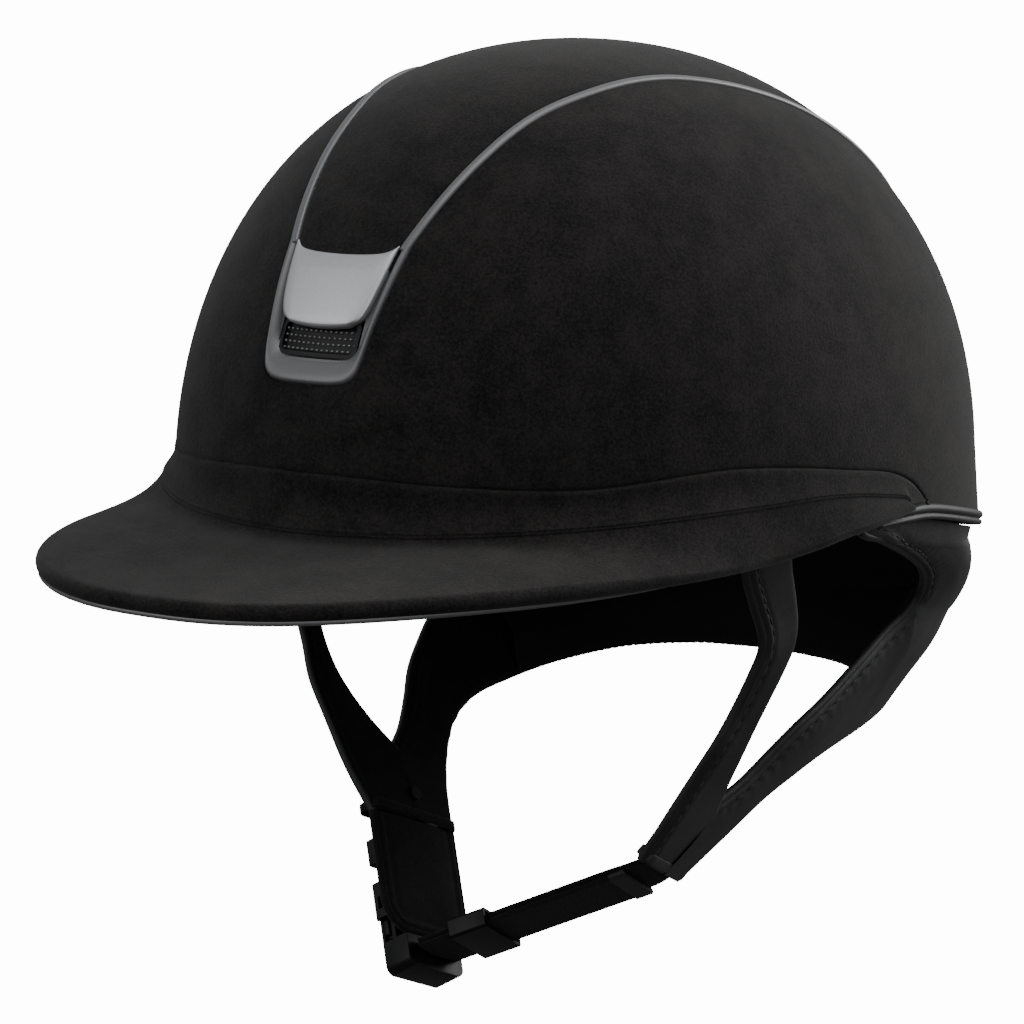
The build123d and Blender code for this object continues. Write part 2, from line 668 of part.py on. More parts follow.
# ---- strap ends --------------------------------------------------------------------------------
with BuildPart() as strap_rivets:
    for face in (NEAR_FACE, BUCKLE_FACE):
        with BuildSketch(face.offset(-JUNCTION_THICK / 2 - 1.4)):
            with Locations((-9, 0)):
                Circle(RIVET_RADIUS)
        extrude(amount=3)
    add(strap_loft(JUNCTION_STATIONS, JUNCTION_THICK), mode=Mode.SUBTRACT)
    add(strap_loft(JUNCTION_STATIONS, JUNCTION_THICK).mirror(Plane.YZ), mode=Mode.SUBTRACT)
save(strap_rivets, "strap_rivets")

CUFF_HOLE = STRAP_END_WIDTH + 3.2
cuff_inner = -JUNCTION_THICK / 2 - 0.2
for side, face, cuff_outer in (("left", NEAR_FACE, JUNCTION_THICK / 2 + 0.2), ("right", BUCKLE_FACE, 5.4)):
    with BuildPart() as strap_cuff:
        block(face, (-CUFF_LENGTH - 0.5, -0.5), CUFF_HOLE + 2 * CUFF_WALL,
              (cuff_inner - CUFF_WALL, cuff_outer + CUFF_WALL))
        block(face, (-CUFF_LENGTH - 2, 2), CUFF_HOLE, (cuff_inner, cuff_outer), mode=Mode.SUBTRACT)
    save(strap_cuff, f"strap_cuff_{side}")

with BuildPart() as buckle_pad:
    block(BUCKLE_FACE, (GAP, GAP + PAD_LENGTH), STRAP_END_WIDTH, (-PAD_THICK / 2, PAD_THICK / 2))
    corner_edges = buckle_pad.edges().filter_by(lambda edge: abs(edge.tangent_at(0.5).dot(FAR_OUT)) > 0.99)
    fillet(corner_edges.sort_by_distance(FAR_END + FAR_DOWN * 2 * PAD_LENGTH)[:2], 9)
save(buckle_pad, "buckle_pad")

with BuildPart() as buckle_webbing:
    sewn_n = JUNCTION_THICK / 2 + 0.6
    low_n = BUCKLE_N - WEBBING_THICK / 2
    with BuildSketch(BUCKLE_SECTION):
        with BuildLine():
            Polyline((-WEBBING_SEWN, sewn_n), (-1, sewn_n), (4, low_n), (SOCKET_START, low_n),
                     (SOCKET_START, low_n + WEBBING_THICK), (3.4, low_n + WEBBING_THICK),
                     (-1.6, sewn_n + WEBBING_THICK), (-WEBBING_SEWN, sewn_n + WEBBING_THICK), close=True)
        make_face()
    extrude(amount=WEBBING_WIDTH / 2, both=True)
save(buckle_webbing, "buckle_webbing")

with BuildPart() as strap_adjuster:
    adjuster_range = (ADJUSTER_START, ADJUSTER_START + ADJUSTER_LENGTH)
    block(BUCKLE_FACE, adjuster_range, SOCKET_WIDTH, (BUCKLE_N - 2.9, BUCKLE_N + 2.9))
    block(BUCKLE_FACE, adjuster_range, WEBBING_WIDTH + 1, (BUCKLE_N - 1.3, BUCKLE_N + 1.3), mode=Mode.SUBTRACT)
    block(BUCKLE_FACE, (ADJUSTER_START + 3, ADJUSTER_START + 6), WEBBING_WIDTH + 1, (BUCKLE_N, BUCKLE_N + 5),
          mode=Mode.SUBTRACT)
save(strap_adjuster, "strap_adjuster")


# ---- buckle ------------------------------------------------------------------------------------
socket_n = (BUCKLE_N - SOCKET_THICK / 2, BUCKLE_N + SOCKET_THICK / 2)
with BuildPart() as buckle_socket:
    block(BUCKLE_FACE, (SOCKET_START, SOCKET_END), SOCKET_WIDTH, socket_n)
    fillet(buckle_socket.edges().filter_by(lambda edge: abs(edge.tangent_at(0.5).dot(FAR_DOWN)) > 0.99), 1.0)
    block(BUCKLE_FACE, (SOCKET_START + SOCKET_BACK, SOCKET_END), SOCKET_WIDTH - 2 * SOCKET_WALL,
          (socket_n[0] + SOCKET_WALL, socket_n[1] - SOCKET_WALL), mode=Mode.SUBTRACT)
    block(BUCKLE_FACE, (SOCKET_START + 5, SOCKET_START + 9), SOCKET_WIDTH + 2, (BUCKLE_N - 1, BUCKLE_N + 1),
          mode=Mode.SUBTRACT)
save(buckle_socket, "buckle_socket")

plug_start = SOCKET_END + 0.4
arm_n = (BUCKLE_N - ARM_THICK / 2, BUCKLE_N + ARM_THICK / 2)
with BuildPart() as buckle_plug:
    block(BUCKLE_FACE, (plug_start, PLUG_END), PLUG_WIDTH, (2.4, socket_n[1] - 0.4))
    block(BUCKLE_FACE, (PLUG_BLOCK_START, PLUG_END), PLUG_WIDTH, (PLUG_INNER_N, 2.4))
    end_edges = buckle_plug.edges().filter_by(lambda edge: abs(edge.tangent_at(0.5).dot(FAR_OUT)) > 0.99)
    fillet(end_edges.sort_by_distance(FAR_END + FAR_DOWN * 2 * PLUG_END)[:2], 3)
    block(BUCKLE_FACE, (ARM_TIP_S, plug_start), GUIDE_WIDTH, arm_n)
    for side in (-1, 1):
        block(BUCKLE_FACE, (plug_start, ARM_ROOT_S + 0.6), PLUG_WIDTH / 2 - 7, (arm_n[0] - 0.4, arm_n[1] + 0.4),
              across=side * (PLUG_WIDTH / 2 + 7) / 2, mode=Mode.SUBTRACT)
save(buckle_plug, "buckle_plug")

for name, side in (("release_arm_front", 1), ("release_arm_rear", -1)):
    with BuildPart() as release_arm:
        block(BUCKLE_FACE, (ARM_TIP_S, ARM_ROOT_S), ARM_WIDTH, arm_n, across=side * ARM_OFFSET)
        block(BUCKLE_FACE, (plug_start + 0.4, ARM_ROOT_S - 1), 1.4, arm_n,
              across=side * (ARM_OFFSET + ARM_WIDTH / 2 + 0.7))
    save(release_arm, name)


# ---- chin strap --------------------------------------------------------------------------------
half_webbing = WEBBING_THICK / 2
TAIL_LOW = half_webbing + 0.25
with BuildPart() as chin_webbing:
    block(CHIN_FACE, (CHIN_START, CHIN_LENGTH + 5), WEBBING_WIDTH, (-half_webbing, half_webbing))
    add(buckle_plug.part, mode=Mode.SUBTRACT)
    add(chin_webbing.part.solids().sort_by_distance(STRAP_END)[0], mode=Mode.REPLACE)
save(chin_webbing, "chin_webbing")

with BuildPart() as chin_strap_tail:
    block(CHIN_FACE, (TAIL_START, CHIN_LENGTH + 5), WEBBING_WIDTH, (TAIL_LOW, TAIL_LOW + WEBBING_THICK))
    add(buckle_plug.part, mode=Mode.SUBTRACT)
    add(chin_strap_tail.part.solids().sort_by_distance(STRAP_END)[0], mode=Mode.REPLACE)
save(chin_strap_tail, "chin_strap_tail")

with BuildPart() as tail_tip:
    block(CHIN_FACE, (TAIL_START - TIP_LENGTH, TAIL_START), WEBBING_WIDTH + 0.6, (TAIL_LOW, TAIL_LOW + 2))
save(tail_tip, "tail_tip")

with BuildPart() as strap_keeper:
    keeper_range = (KEEPER_START, KEEPER_START + KEEPER_LENGTH)
    block(CHIN_FACE, keeper_range, KEEPER_WIDTH, (-half_webbing - 1.5, TAIL_LOW + WEBBING_THICK + 1.6))
    fillet(strap_keeper.edges().filter_by(lambda edge: abs(edge.tangent_at(0.5).dot(CHIN_DIR)) > 0.99), 1.2)
    block(CHIN_FACE, keeper_range, WEBBING_WIDTH + 1, (-half_webbing - 0.4, TAIL_LOW + WEBBING_THICK + 0.5),
          mode=Mode.SUBTRACT)
save(strap_keeper, "strap_keeper")
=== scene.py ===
import math

import bpy
import numpy as np
from mathutils import Matrix, Vector


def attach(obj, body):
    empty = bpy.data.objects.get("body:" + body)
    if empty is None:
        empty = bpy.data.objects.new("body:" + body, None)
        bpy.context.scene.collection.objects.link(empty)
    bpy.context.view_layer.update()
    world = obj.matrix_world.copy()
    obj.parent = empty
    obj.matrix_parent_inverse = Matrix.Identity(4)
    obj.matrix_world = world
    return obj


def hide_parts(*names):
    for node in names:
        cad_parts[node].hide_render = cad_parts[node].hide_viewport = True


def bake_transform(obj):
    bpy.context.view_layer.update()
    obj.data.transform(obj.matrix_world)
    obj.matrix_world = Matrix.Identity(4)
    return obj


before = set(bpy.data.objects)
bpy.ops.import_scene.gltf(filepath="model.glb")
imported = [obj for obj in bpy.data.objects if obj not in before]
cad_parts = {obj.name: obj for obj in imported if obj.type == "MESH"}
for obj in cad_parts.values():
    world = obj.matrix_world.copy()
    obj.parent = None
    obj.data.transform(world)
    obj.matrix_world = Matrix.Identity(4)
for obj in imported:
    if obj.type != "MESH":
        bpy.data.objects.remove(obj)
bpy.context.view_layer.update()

# Equestrian riding helmet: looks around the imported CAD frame. Shapes are worked out in millimetres in the
# row frame (+X the wearer's left, -Y the front, +Z up) and turned into metres when a mesh is made.

MM = 0.001

# ---- dome, as in the CAD ------------------------------------------------------------------------
HALF_WIDTH = 110.0
FRONT_REACH = 133.6
REAR_REACH = 142.5
CROWN_RISE = 132.4
EQUATOR_Z = 15.0
EGG = 0.131
PLAN_POWER = 2.113
SIDE_POWER = 2.126
WALL_FLARE = 0.02
DOME_MIDDLE = np.array([0.0, 0.0, -10.0])

# ---- rim, seams and rails -----------------------------------------------------------------------
RIM_EASE = 9.0
RIM_BREAK_Y = 24.0
RIM_Z = 8.6
RIM_REAR_SLOPE = -0.33
RIM_BEAD = 4.2
TOP_SEAM = [(0, -131, 50.5), (40, -124, 49.2), (73, -100, 45.5), (95, -54, 41.0), (107, -14, 31.8),
            (110.6, 6, 26.5), (111.2, 16, 21.5), (111.5, 22, 16.5), (111.8, 25.6, 12.6)]
LOW_SEAM = [(0, -133, 34.6), (18, -131, 34.7), (43, -121, 34.2), (73, -94, 32.6), (96, -53, 29.2),
            (105.8, -24, 26.2), (109.6, -2, 21.2), (111.3, 12.5, 16.6), (111.4, 13.5, 14.6), (111.8, 25.4, 12.2)]
SEAM_NOTCH = 7          # the low seam stops at this point and the rest of the band runs to the rim
RAIL = [(18.6, -99, 106.5), (21.4, -89, 114), (25.6, -72, 125), (30.2, -50, 134.5), (35.4, -30, 138),
        (40.0, -10, 139), (43.6, 2, 138.7), (49, 16, 136), (55.6, 35, 129.6), (60, 51, 122.6),
        (64.0, 67, 112.5), (65.5, 85, 97), (64, 104, 75), (59, 120, 48), (53.5, 127, 20), (50.5, 129, 0),
        (50, 129, -14)]
RAIL_HALF = 1.35
RAIL_HEIGHT = 0.95

# ---- front vent, in front view (x, z) -----------------------------------------------------------
FRAME_OUTER = [(20.4, 108), (18.7, 97), (16.9, 86), (15.9, 79.0), (14.8, 75.4), (12.6, 73.7), (9.4, 73.1),
               (4.7, 72.9), (0, 72.9)]
FRAME_INNER = [(17.9, 108), (16.2, 97), (14.4, 88.4), (13.3, 84.4), (11.4, 81.9), (8.6, 81.0), (0, 80.7)]
PLATE_SIDE = [(17.0, 106.9), (15.3, 97), (13.9, 91.6), (12.5, 89.2), (9.6, 87.7), (0, 87.2)]
PLATE_SPIRE = 2.4       # how far the plate's top corners stand above its top edge

# ---- peak ---------------------------------------------------------------------------------------
PEAK_HALF_WIDTH = 103.8
PEAK_TIP_Y = -196.1
PEAK_ROOT_Y = 30.5
PEAK_PLAN_POWER = 2.45
PEAK_FLAT_Z = 30.8
PEAK_DROP = 20.6
PEAK_DROP_POWER = 4.63
PEAK_SIDE_EDGE = [(99.9, -54.5, 13.6), (104.4, -38.6, 13.3), (106.8, -30.7, 13.6), (108.8, -22.2, 14.0),
                  (110.9, -12.9, 14.0), (112.2, -2.2, 13.7), (113.0, 12.8, 13.6)]
PEAK_THICK = 5.2

# ---- camera -------------------------------------------------------------------------------------
CAMERA_AZIMUTH = 33.52
CAMERA_ELEVATION = 15.75
CAMERA_ROLL = -3.23
CAMERA_DISTANCE = 1.0229
CAMERA_LENS = 117.8
CAMERA_SHIFT = (-0.0503, 0.0147)


# =================================================================================================
# Geometry helpers
# =================================================================================================
def array(values):
    return np.array(values, float)


def unit(vectors):
    vectors = np.asarray(vectors, float)
    return vectors / np.maximum(np.linalg.norm(vectors, axis=-1, keepdims=True), 1e-9)


def smoothstep(value):
    value = np.clip(value, 0, 1)
    return value * value * (3 - 2 * value)


def dome_value(points):
    """Below zero inside the dome's outer skin."""
    x, y, z = points[..., 0], points[..., 1], points[..., 2]
    along = y / np.where(y < 0, FRONT_REACH, REAR_REACH)
    lean = 1 + WALL_FLARE * np.maximum(0, EQUATOR_Z - z) / 100
    width = HALF_WIDTH * (1 + EGG * along)
    plan = (np.abs(x / (width * lean)) ** PLAN_POWER + np.abs(along / lean) ** PLAN_POWER) ** (1 / PLAN_POWER)
    rise = np.maximum(0, z - EQUATOR_Z) / CROWN_RISE
    return plan ** SIDE_POWER + rise ** SIDE_POWER - 1


def cast(origin, direction):
    """Where rays from inside the dome meet its skin."""
    direction = unit(direction)
    near = np.zeros(direction.shape[:-1])
    far = np.full(direction.shape[:-1], 400.0)
    for _ in range(40):
        middle = (near + far) / 2
        inside = dome_value(origin + middle[..., None] * direction) < 0
        near = np.where(inside, middle, near)
        far = np.where(inside, far, middle)
    return origin + near[..., None] * direction


def on_dome(guess):
    """The skin point on the ray from the dome's middle through each guess."""
    return cast(DOME_MIDDLE, np.asarray(guess, float) - DOME_MIDDLE)


def dome_normal(points):
    step = 0.05
    slopes = [dome_value(points + step * axis) - dome_value(points - step * axis) for axis in np.eye(3)]
    return unit(np.stack(slopes, -1))


def lifted(points, height):
    """Skin points moved out along the dome's normal."""
    return points + dome_normal(points) * np.asarray(height)[..., None]


def brow_point(x, z):
    """Skin point on the front of the dome at (x, z)."""
    x, z = np.broadcast_arrays(np.asarray(x, float), np.asarray(z, float))
    origin = np.stack([x, np.zeros_like(x), z], -1)
    direction = np.broadcast_to(array([0, -1, 0]), origin.shape)
    return cast(origin, direction)


def smooth_path(points, count, even=True):
    """Centripetal Catmull-Rom curve through the points, sampled evenly along its length."""
    points = array(points)
    ends = [2 * points[0] - points[1]], [2 * points[-1] - points[-2]]
    knots = np.concatenate([ends[0], points, ends[1]])
    samples = []
    for before, start, end, after in zip(knots, knots[1:], knots[2:], knots[3:]):
        spans = [max(np.linalg.norm(b - a), 1e-6) ** 0.5 for a, b in ((before, start), (start, end), (end, after))]
        slope_in = (end - start) + spans[1] * ((start - before) / spans[0] - (end - before) / (spans[0] + spans[1]))
        slope_out = (end - start) + spans[1] * ((after - end) / spans[2] - (after - start) / (spans[1] + spans[2]))
        t = np.linspace(0, 1, 24, endpoint=False)[:, None]
        samples.append((2 * t**3 - 3 * t**2 + 1) * start + (t**3 - 2 * t**2 + t) * slope_in
                       + (3 * t**2 - 2 * t**3) * end + (t**3 - t**2) * slope_out)
    dense = np.concatenate(samples + [points[-1:]])
    if not even:
        return dense
    return resample(dense, count)


def resample(dense, count, spacing=None):
    """Points evenly spaced along a polyline, or at the given shares of its length."""
    lengths = np.concatenate([[0], np.cumsum(np.linalg.norm(np.diff(dense, axis=0), axis=1))])
    shares = np.linspace(0, 1, count) if spacing is None else spacing
    return np.stack([np.interp(shares * lengths[-1], lengths, dense[:, k]) for k in range(dense.shape[1])], -1)


def mirror_points(points):
    return np.asarray(points) * array([-1, 1, 1])


def both_sides(points):
    """A left-hand path from the centre line, continued to its mirror image: right end to left end."""
    points = np.asarray(points)
    return np.concatenate([mirror_points(points[:0:-1]), points])


def tangents(path):
    return unit(np.gradient(path, axis=0))


def edge_rows(count, first_mm, span_mm):
    """Row positions across a panel, crowded towards both edges."""
    crowd = np.array([0, 0.3, 0.7, 1.3, 2.2]) * first_mm / span_mm
    middle = np.linspace(crowd[-1], 1 - crowd[-1], count)
    return np.concatenate([crowd[:-1], middle, 1 - crowd[-2::-1]])


# =================================================================================================
# Mesh helpers
# =================================================================================================
def make_object(name, vertices, faces, material, smooth=True):
    mesh = bpy.data.meshes.new(name)
    mesh.from_pydata((np.asarray(vertices) * MM).tolist(), [], faces)
    mesh.validate()
    mesh.polygons.foreach_set("use_smooth", [smooth] * len(mesh.polygons))
    mesh.materials.append(material)
    mesh.update()
    piece = bpy.data.objects.new(name, mesh)
    bpy.context.scene.collection.objects.link(piece)
    return piece


def grid_faces(rows, columns, offset=0, wrap=False, flip=False):
    """Quads of a rows x columns grid of vertices; wrap joins the last column to the first."""
    faces = []
    for i in range(rows - 1):
        for j in range(columns if wrap else columns - 1):
            k = (j + 1) % columns
            quad = [offset + i * columns + j, offset + i * columns + k,
                    offset + (i + 1) * columns + k, offset + (i + 1) * columns + j]
            faces.append(quad[::-1] if flip else quad)
    return faces


def panel_object(name, grids, material, weld=0.0, thick=0.0, fix_normals=True):
    """One mesh from several grids of points; `weld` joins shared borders, `thick` gives it a back."""
    vertices, faces, offset = [], [], 0
    for grid in grids:
        rows, columns = grid.shape[:2]
        vertices.append(grid.reshape(-1, 3))
        faces += grid_faces(rows, columns, offset)
        offset += rows * columns
    piece = make_object(name, np.concatenate(vertices), faces, material)
    tidy_mesh(piece, weld, fix_normals)
    if thick:
        add_modifier(piece, "SOLIDIFY", thickness=thick * MM, offset=-1.0, use_even_offset=False)
    return piece


def tidy_mesh(piece, weld=0.0, fix_normals=True):
    import bmesh
    work = bmesh.new()
    work.from_mesh(piece.data)
    if weld:
        bmesh.ops.remove_doubles(work, verts=work.verts, dist=weld * MM)
    bmesh.ops.dissolve_degenerate(work, edges=work.edges, dist=1e-7)
    if fix_normals:
        bmesh.ops.recalc_face_normals(work, faces=work.faces)
    work.to_mesh(piece.data)
    work.free()
    piece.data.polygons.foreach_set("use_smooth", [True] * len(piece.data.polygons))
    piece.data.update()


def add_modifier(piece, kind, **settings):
    modifier = piece.modifiers.new(kind.lower(), kind)
    for key, value in settings.items():
        setattr(modifier, key, value)
    with bpy.context.temp_override(object=piece, active_object=piece, selected_objects=[piece]):
        bpy.ops.object.modifier_apply(modifier=modifier.name)


def sweep_object(name, path, side, up, profile, material, closed=False):
    """A closed profile of (side, up) points swept along a path, with flat ends unless it is closed."""
    profile = array(profile)
    rings = path[:, None] + side[:, None] * profile[None, :, :1] + up[:, None] * profile[None, :, 1:]
    rows, columns = rings.shape[:2]
    if closed:
        rings = np.concatenate([rings, rings[:1]])
        rows += 1
    faces = grid_faces(rows, columns, wrap=True)
    if not closed:
        faces.append(list(range(columns))[::-1])
        faces.append([(rows - 1) * columns + j for j in range(columns)])
    piece = make_object(name, rings.reshape(-1, 3), faces, material)
    tidy_mesh(piece, weld=1e-3 if closed else 0.0)
    return piece


def round_profile(half_width, top, bottom, steps=10, power=2.4):
    """Rounded bead: a superellipse above, a short skirt below."""
    angles = np.linspace(0, math.pi, steps)
    across = np.sign(np.cos(angles)) * np.abs(np.cos(angles)) ** (2 / power) * half_width
    height = np.abs(np.sin(angles)) ** (2 / power) * top
    return [(half_width, bottom)] + list(zip(across, height)) + [(-half_width, bottom)]


def place(piece, body, slot, *nodes):
    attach(piece, body)
    if nodes:
        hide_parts(*nodes)
    return piece


# =================================================================================================
# Materials
# =================================================================================================
class Finish:
    """A procedural material built up node by node."""

    def __init__(self, name, colour, roughness, metallic=0.0, **uniform):
        self.material = bpy.data.materials.new(name)
        self.material.use_nodes = True
        self.nodes = self.material.node_tree.nodes
        self.links = self.material.node_tree.links
        self.shader = self.nodes["Principled BSDF"]
        self.shader.inputs["Base Color"].default_value = (*colour, 1)
        self.shader.inputs["Roughness"].default_value = roughness
        self.shader.inputs["Metallic"].default_value = metallic
        for socket, value in uniform.items():
            self.shader.inputs[socket.replace("_", " ")].default_value = value
        self.place = self.nodes.new("ShaderNodeTexCoord").outputs["Object"]
        self.bump_normal = None
        self.material.diffuse_color = (*colour, 1)

    def texture(self, kind, scale, **settings):
        node = self.nodes.new(f"ShaderNodeTex{kind}")
        self.links.new(self.place, node.inputs["Vector"])
        node.inputs["Scale"].default_value = scale
        for key, value in settings.items():
            if key in ("feature", "bands_direction", "wave_profile"):
                setattr(node, key, value)
            else:
                node.inputs[key].default_value = value
        return node

    def ramp(self, source, stops):
        node = self.nodes.new("ShaderNodeValToRGB")
        self.links.new(source, node.inputs["Fac"])
        while len(node.color_ramp.elements) < len(stops):
            node.color_ramp.elements.new(0.5)
        for element, (position, value) in zip(node.color_ramp.elements, stops):
            element.position = position
            element.color = (*value, 1) if isinstance(value, tuple) else (value, value, value, 1)
        return node.outputs["Color"]

    def colour_from(self, source, stops):
        self.links.new(self.ramp(source, stops), self.shader.inputs["Base Color"])

    def roughness_from(self, source, stops):
        self.links.new(self.ramp(source, stops), self.shader.inputs["Roughness"])

    def bump(self, source, height_mm, strength=1.0):
        node = self.nodes.new("ShaderNodeBump")
        node.inputs["Strength"].default_value = strength
        node.inputs["Distance"].default_value = height_mm * MM
        self.links.new(source, node.inputs["Height"])
        if self.bump_normal:
            self.links.new(self.bump_normal, node.inputs["Normal"])
        self.bump_normal = node.outputs["Normal"]
        self.links.new(self.bump_normal, self.shader.inputs["Normal"])

    def mixed(self, first, second, share):
        node = self.nodes.new("ShaderNodeMix")
        node.inputs["Factor"].default_value = share
        self.links.new(first, node.inputs["A"])
        self.links.new(second, node.inputs["B"])
        return node.outputs["Result"]


def suede(name, dark, light):
    finish = Finish(name, dark, 0.9, Sheen_Weight=0.075, Sheen_Roughness=0.45)
    finish.shader.inputs["Sheen Tint"].default_value = (0.86, 0.84, 0.82, 1)
    finish.shader.inputs["Specular IOR Level"].default_value = 0.08
    patches = finish.texture("Noise", 80, Detail=6.0, Roughness=0.66)
    fibre = finish.texture("Noise", 1250, Detail=3.0, Roughness=0.75)
    blend = finish.mixed(patches.outputs["Fac"], fibre.outputs["Fac"], 0.6)
    finish.colour_from(blend, [(0.40, dark), (0.60, light)])
    finish.bump(patches.outputs["Fac"], 0.3, 0.12)
    finish.bump(fibre.outputs["Fac"], 0.22, 0.75)
    return finish.material


def leather(name, dark, light, roughness, grain=520, sheen=0.0):
    finish = Finish(name, dark, roughness, Sheen_Weight=sheen)
    finish.shader.inputs["Specular IOR Level"].default_value = 0.26
    pores = finish.texture("Voronoi", grain, feature="DISTANCE_TO_EDGE")
    fine = finish.texture("Noise", grain * 2.2, Detail=3.0)
    broad = finish.texture("Noise", 70, Detail=4.0)
    finish.colour_from(broad.outputs["Fac"], [(0.35, dark), (0.7, light)])
    finish.bump(finish.ramp(pores.outputs["Distance"], [(0.0, 0.0), (0.16, 1.0)]), 0.07, 0.4)
    finish.bump(fine.outputs["Fac"], 0.08, 0.5)
    finish.roughness_from(broad.outputs["Fac"], [(0.3, roughness - 0.05), (0.7, roughness + 0.08)])
    return finish.material


def satin(name, colour, light, roughness, metallic=0.0, grain=900, specular=0.5):
    finish = Finish(name, colour, roughness, metallic)
    finish.shader.inputs["Specular IOR Level"].default_value = specular
    specks = finish.texture("Noise", grain, Detail=2.0)
    finish.colour_from(specks.outputs["Fac"], [(0.3, colour), (0.75, light)])
    finish.bump(specks.outputs["Fac"], 0.03, 0.2)
    return finish.material


def woven(name, dark, light, pitch, roughness=0.7):
    finish = Finish(name, dark, roughness, Sheen_Weight=0.03)
    finish.shader.inputs["Specular IOR Level"].default_value = 0.08
    ribs = finish.texture("Wave", pitch, bands_direction="DIAGONAL", Distortion=0.4, Detail=1.0)
    cross = finish.texture("Wave", pitch * 0.83, bands_direction="Z", Distortion=0.5, Detail=1.0)
    weave = finish.mixed(ribs.outputs["Fac"], cross.outputs["Fac"], 0.5)
    finish.colour_from(weave, [(0.25, dark), (0.75, light)])
    finish.bump(weave, 0.25, 0.7)
    return finish.material


def foam_beads(name):
    finish = Finish(name, (0.035, 0.035, 0.037), 0.75)
    beads = finish.texture("Voronoi", 330, feature="DISTANCE_TO_EDGE")
    # Painted shading: each bead's colour is lightest in its middle and darkens towards the grooves between beads,
    # standing in for the shadow in those grooves.
    painted_bead_shading = finish.texture("Voronoi", 330)
    finish.colour_from(painted_bead_shading.outputs["Distance"], [(0.1, (0.05, 0.05, 0.053)), (0.8, (0.02, 0.02, 0.022))])
    finish.bump(finish.ramp(beads.outputs["Distance"], [(0.0, 0.0), (0.3, 1.0)]), 0.35, 0.8)
    return finish.material


SUEDE = suede("suede_cover", (0.0016, 0.0014, 0.0013), (0.0105, 0.0094, 0.0090))
INNER_SUEDE = suede("inner_suede", (0.0030, 0.0029, 0.0029), (0.0080, 0.0078, 0.0078))
LEATHER = leather("harness_leather", (0.0110, 0.0110, 0.0114), (0.0165, 0.0165, 0.0170), 0.52, grain=1300)
BINDING = leather("edge_binding", (0.0085, 0.0085, 0.0088), (0.0130, 0.0130, 0.0134), 0.5, grain=1600)
GREY = satin("satin_grey", (0.068, 0.068, 0.070), (0.084, 0.084, 0.086), 0.42, 0.3, grain=2400)
RIM_GREY = satin("rim_grey", (0.016, 0.016, 0.0165), (0.022, 0.022, 0.0225), 0.55, grain=2400, specular=0.2)
BADGE = satin("badge_satin", (0.31, 0.31, 0.315), (0.36, 0.36, 0.365), 0.48, 0.8, grain=2400)
BLACK = satin("gloss_black", (0.0012, 0.0012, 0.0013), (0.0025, 0.0025, 0.0027), 0.3, specular=0.1)
STUD = satin("mesh_stud", (0.10, 0.10, 0.105), (0.14, 0.14, 0.145), 0.25, 0.6)
PLASTIC = satin("buckle_plastic", (0.0018, 0.0018, 0.0019), (0.0032, 0.0032, 0.0034), 0.42, specular=0.14)
SHELL = satin("shell_plastic", (0.018, 0.018, 0.019), (0.028, 0.028, 0.030), 0.35)
WEBBING = woven("webbing_weave", (0.0020, 0.0020, 0.0021), (0.0075, 0.0075, 0.0078), 900)
LINING = woven("knit_lining", (0.0065, 0.0065, 0.0068), (0.0150, 0.0150, 0.0155), 900, 0.9)
THREAD = leather("thread", (0.003, 0.003, 0.003), (0.007, 0.007, 0.007), 0.6, grain=1500)
FOAM = foam_beads("foam_beads")
RIVET = satin("rivet_metal", (0.10, 0.10, 0.105), (0.15, 0.15, 0.155), 0.3, 0.9)
TAPE = woven("hook_tape", (0.010, 0.010, 0.011), (0.050, 0.050, 0.053), 900, 0.9)


# =================================================================================================
# Shell covers, hat band, rails and rim
# =================================================================================================
def rim_z(y):
    past = np.asarray(y) - RIM_BREAK_Y
    eased = 0.5 * (past + np.sqrt(past ** 2 + RIM_EASE ** 2))
    return RIM_Z - 0.12 * past + (RIM_REAR_SLOPE + 0.12) * (eased - RIM_EASE * 0.35)


def rim_point(angle, raised=0.0):
    """Skin point on the rim line at an angle round from the front, left side positive."""
    angle = np.asarray(angle, float)
    direction = np.stack([np.sin(angle), -np.cos(angle), np.zeros_like(angle)], -1)
    height = np.zeros_like(angle)
    for _ in range(6):
        origin = np.stack([np.zeros_like(angle), np.zeros_like(angle), height], -1)
        points = cast(origin, direction)
        height = rim_z(points[..., 1]) + raised
    return points


CURL_ROWS = [(0.0, -2.2), (0.0, -0.9), (0.22, -0.38), (0.6, -0.1), (1.3, 0.0)]     # mm from edge, mm of height


def dome_panel(low, high, rows, bulge=0.0, curl=CURL_ROWS):
    """Grid of skin points between two edge lines, tucked in along both of them."""
    span = np.linalg.norm(high - low, axis=1)
    grid = []
    for distance, height in curl:
        share = np.minimum(distance / np.maximum(span, 1), 0.5)[:, None]
        grid.append(lifted(on_dome(low + (high - low) * share), np.full(len(low), height)))
    start = curl[-1][0] / np.maximum(span, 1)
    for level in np.linspace(0, 1, rows)[1:-1]:
        share = np.clip(start + (1 - 2 * start) * level, 0, 1)[:, None]
        grid.append(lifted(on_dome(low + (high - low) * share), np.full(len(low), bulge * 4 * level * (1 - level))))
    for distance, height in curl[::-1]:
        share = 1 - np.minimum(distance / np.maximum(span, 1), 0.5)[:, None]
        grid.append(lifted(on_dome(low + (high - low) * share), np.full(len(low), height)))
    return np.stack(grid)


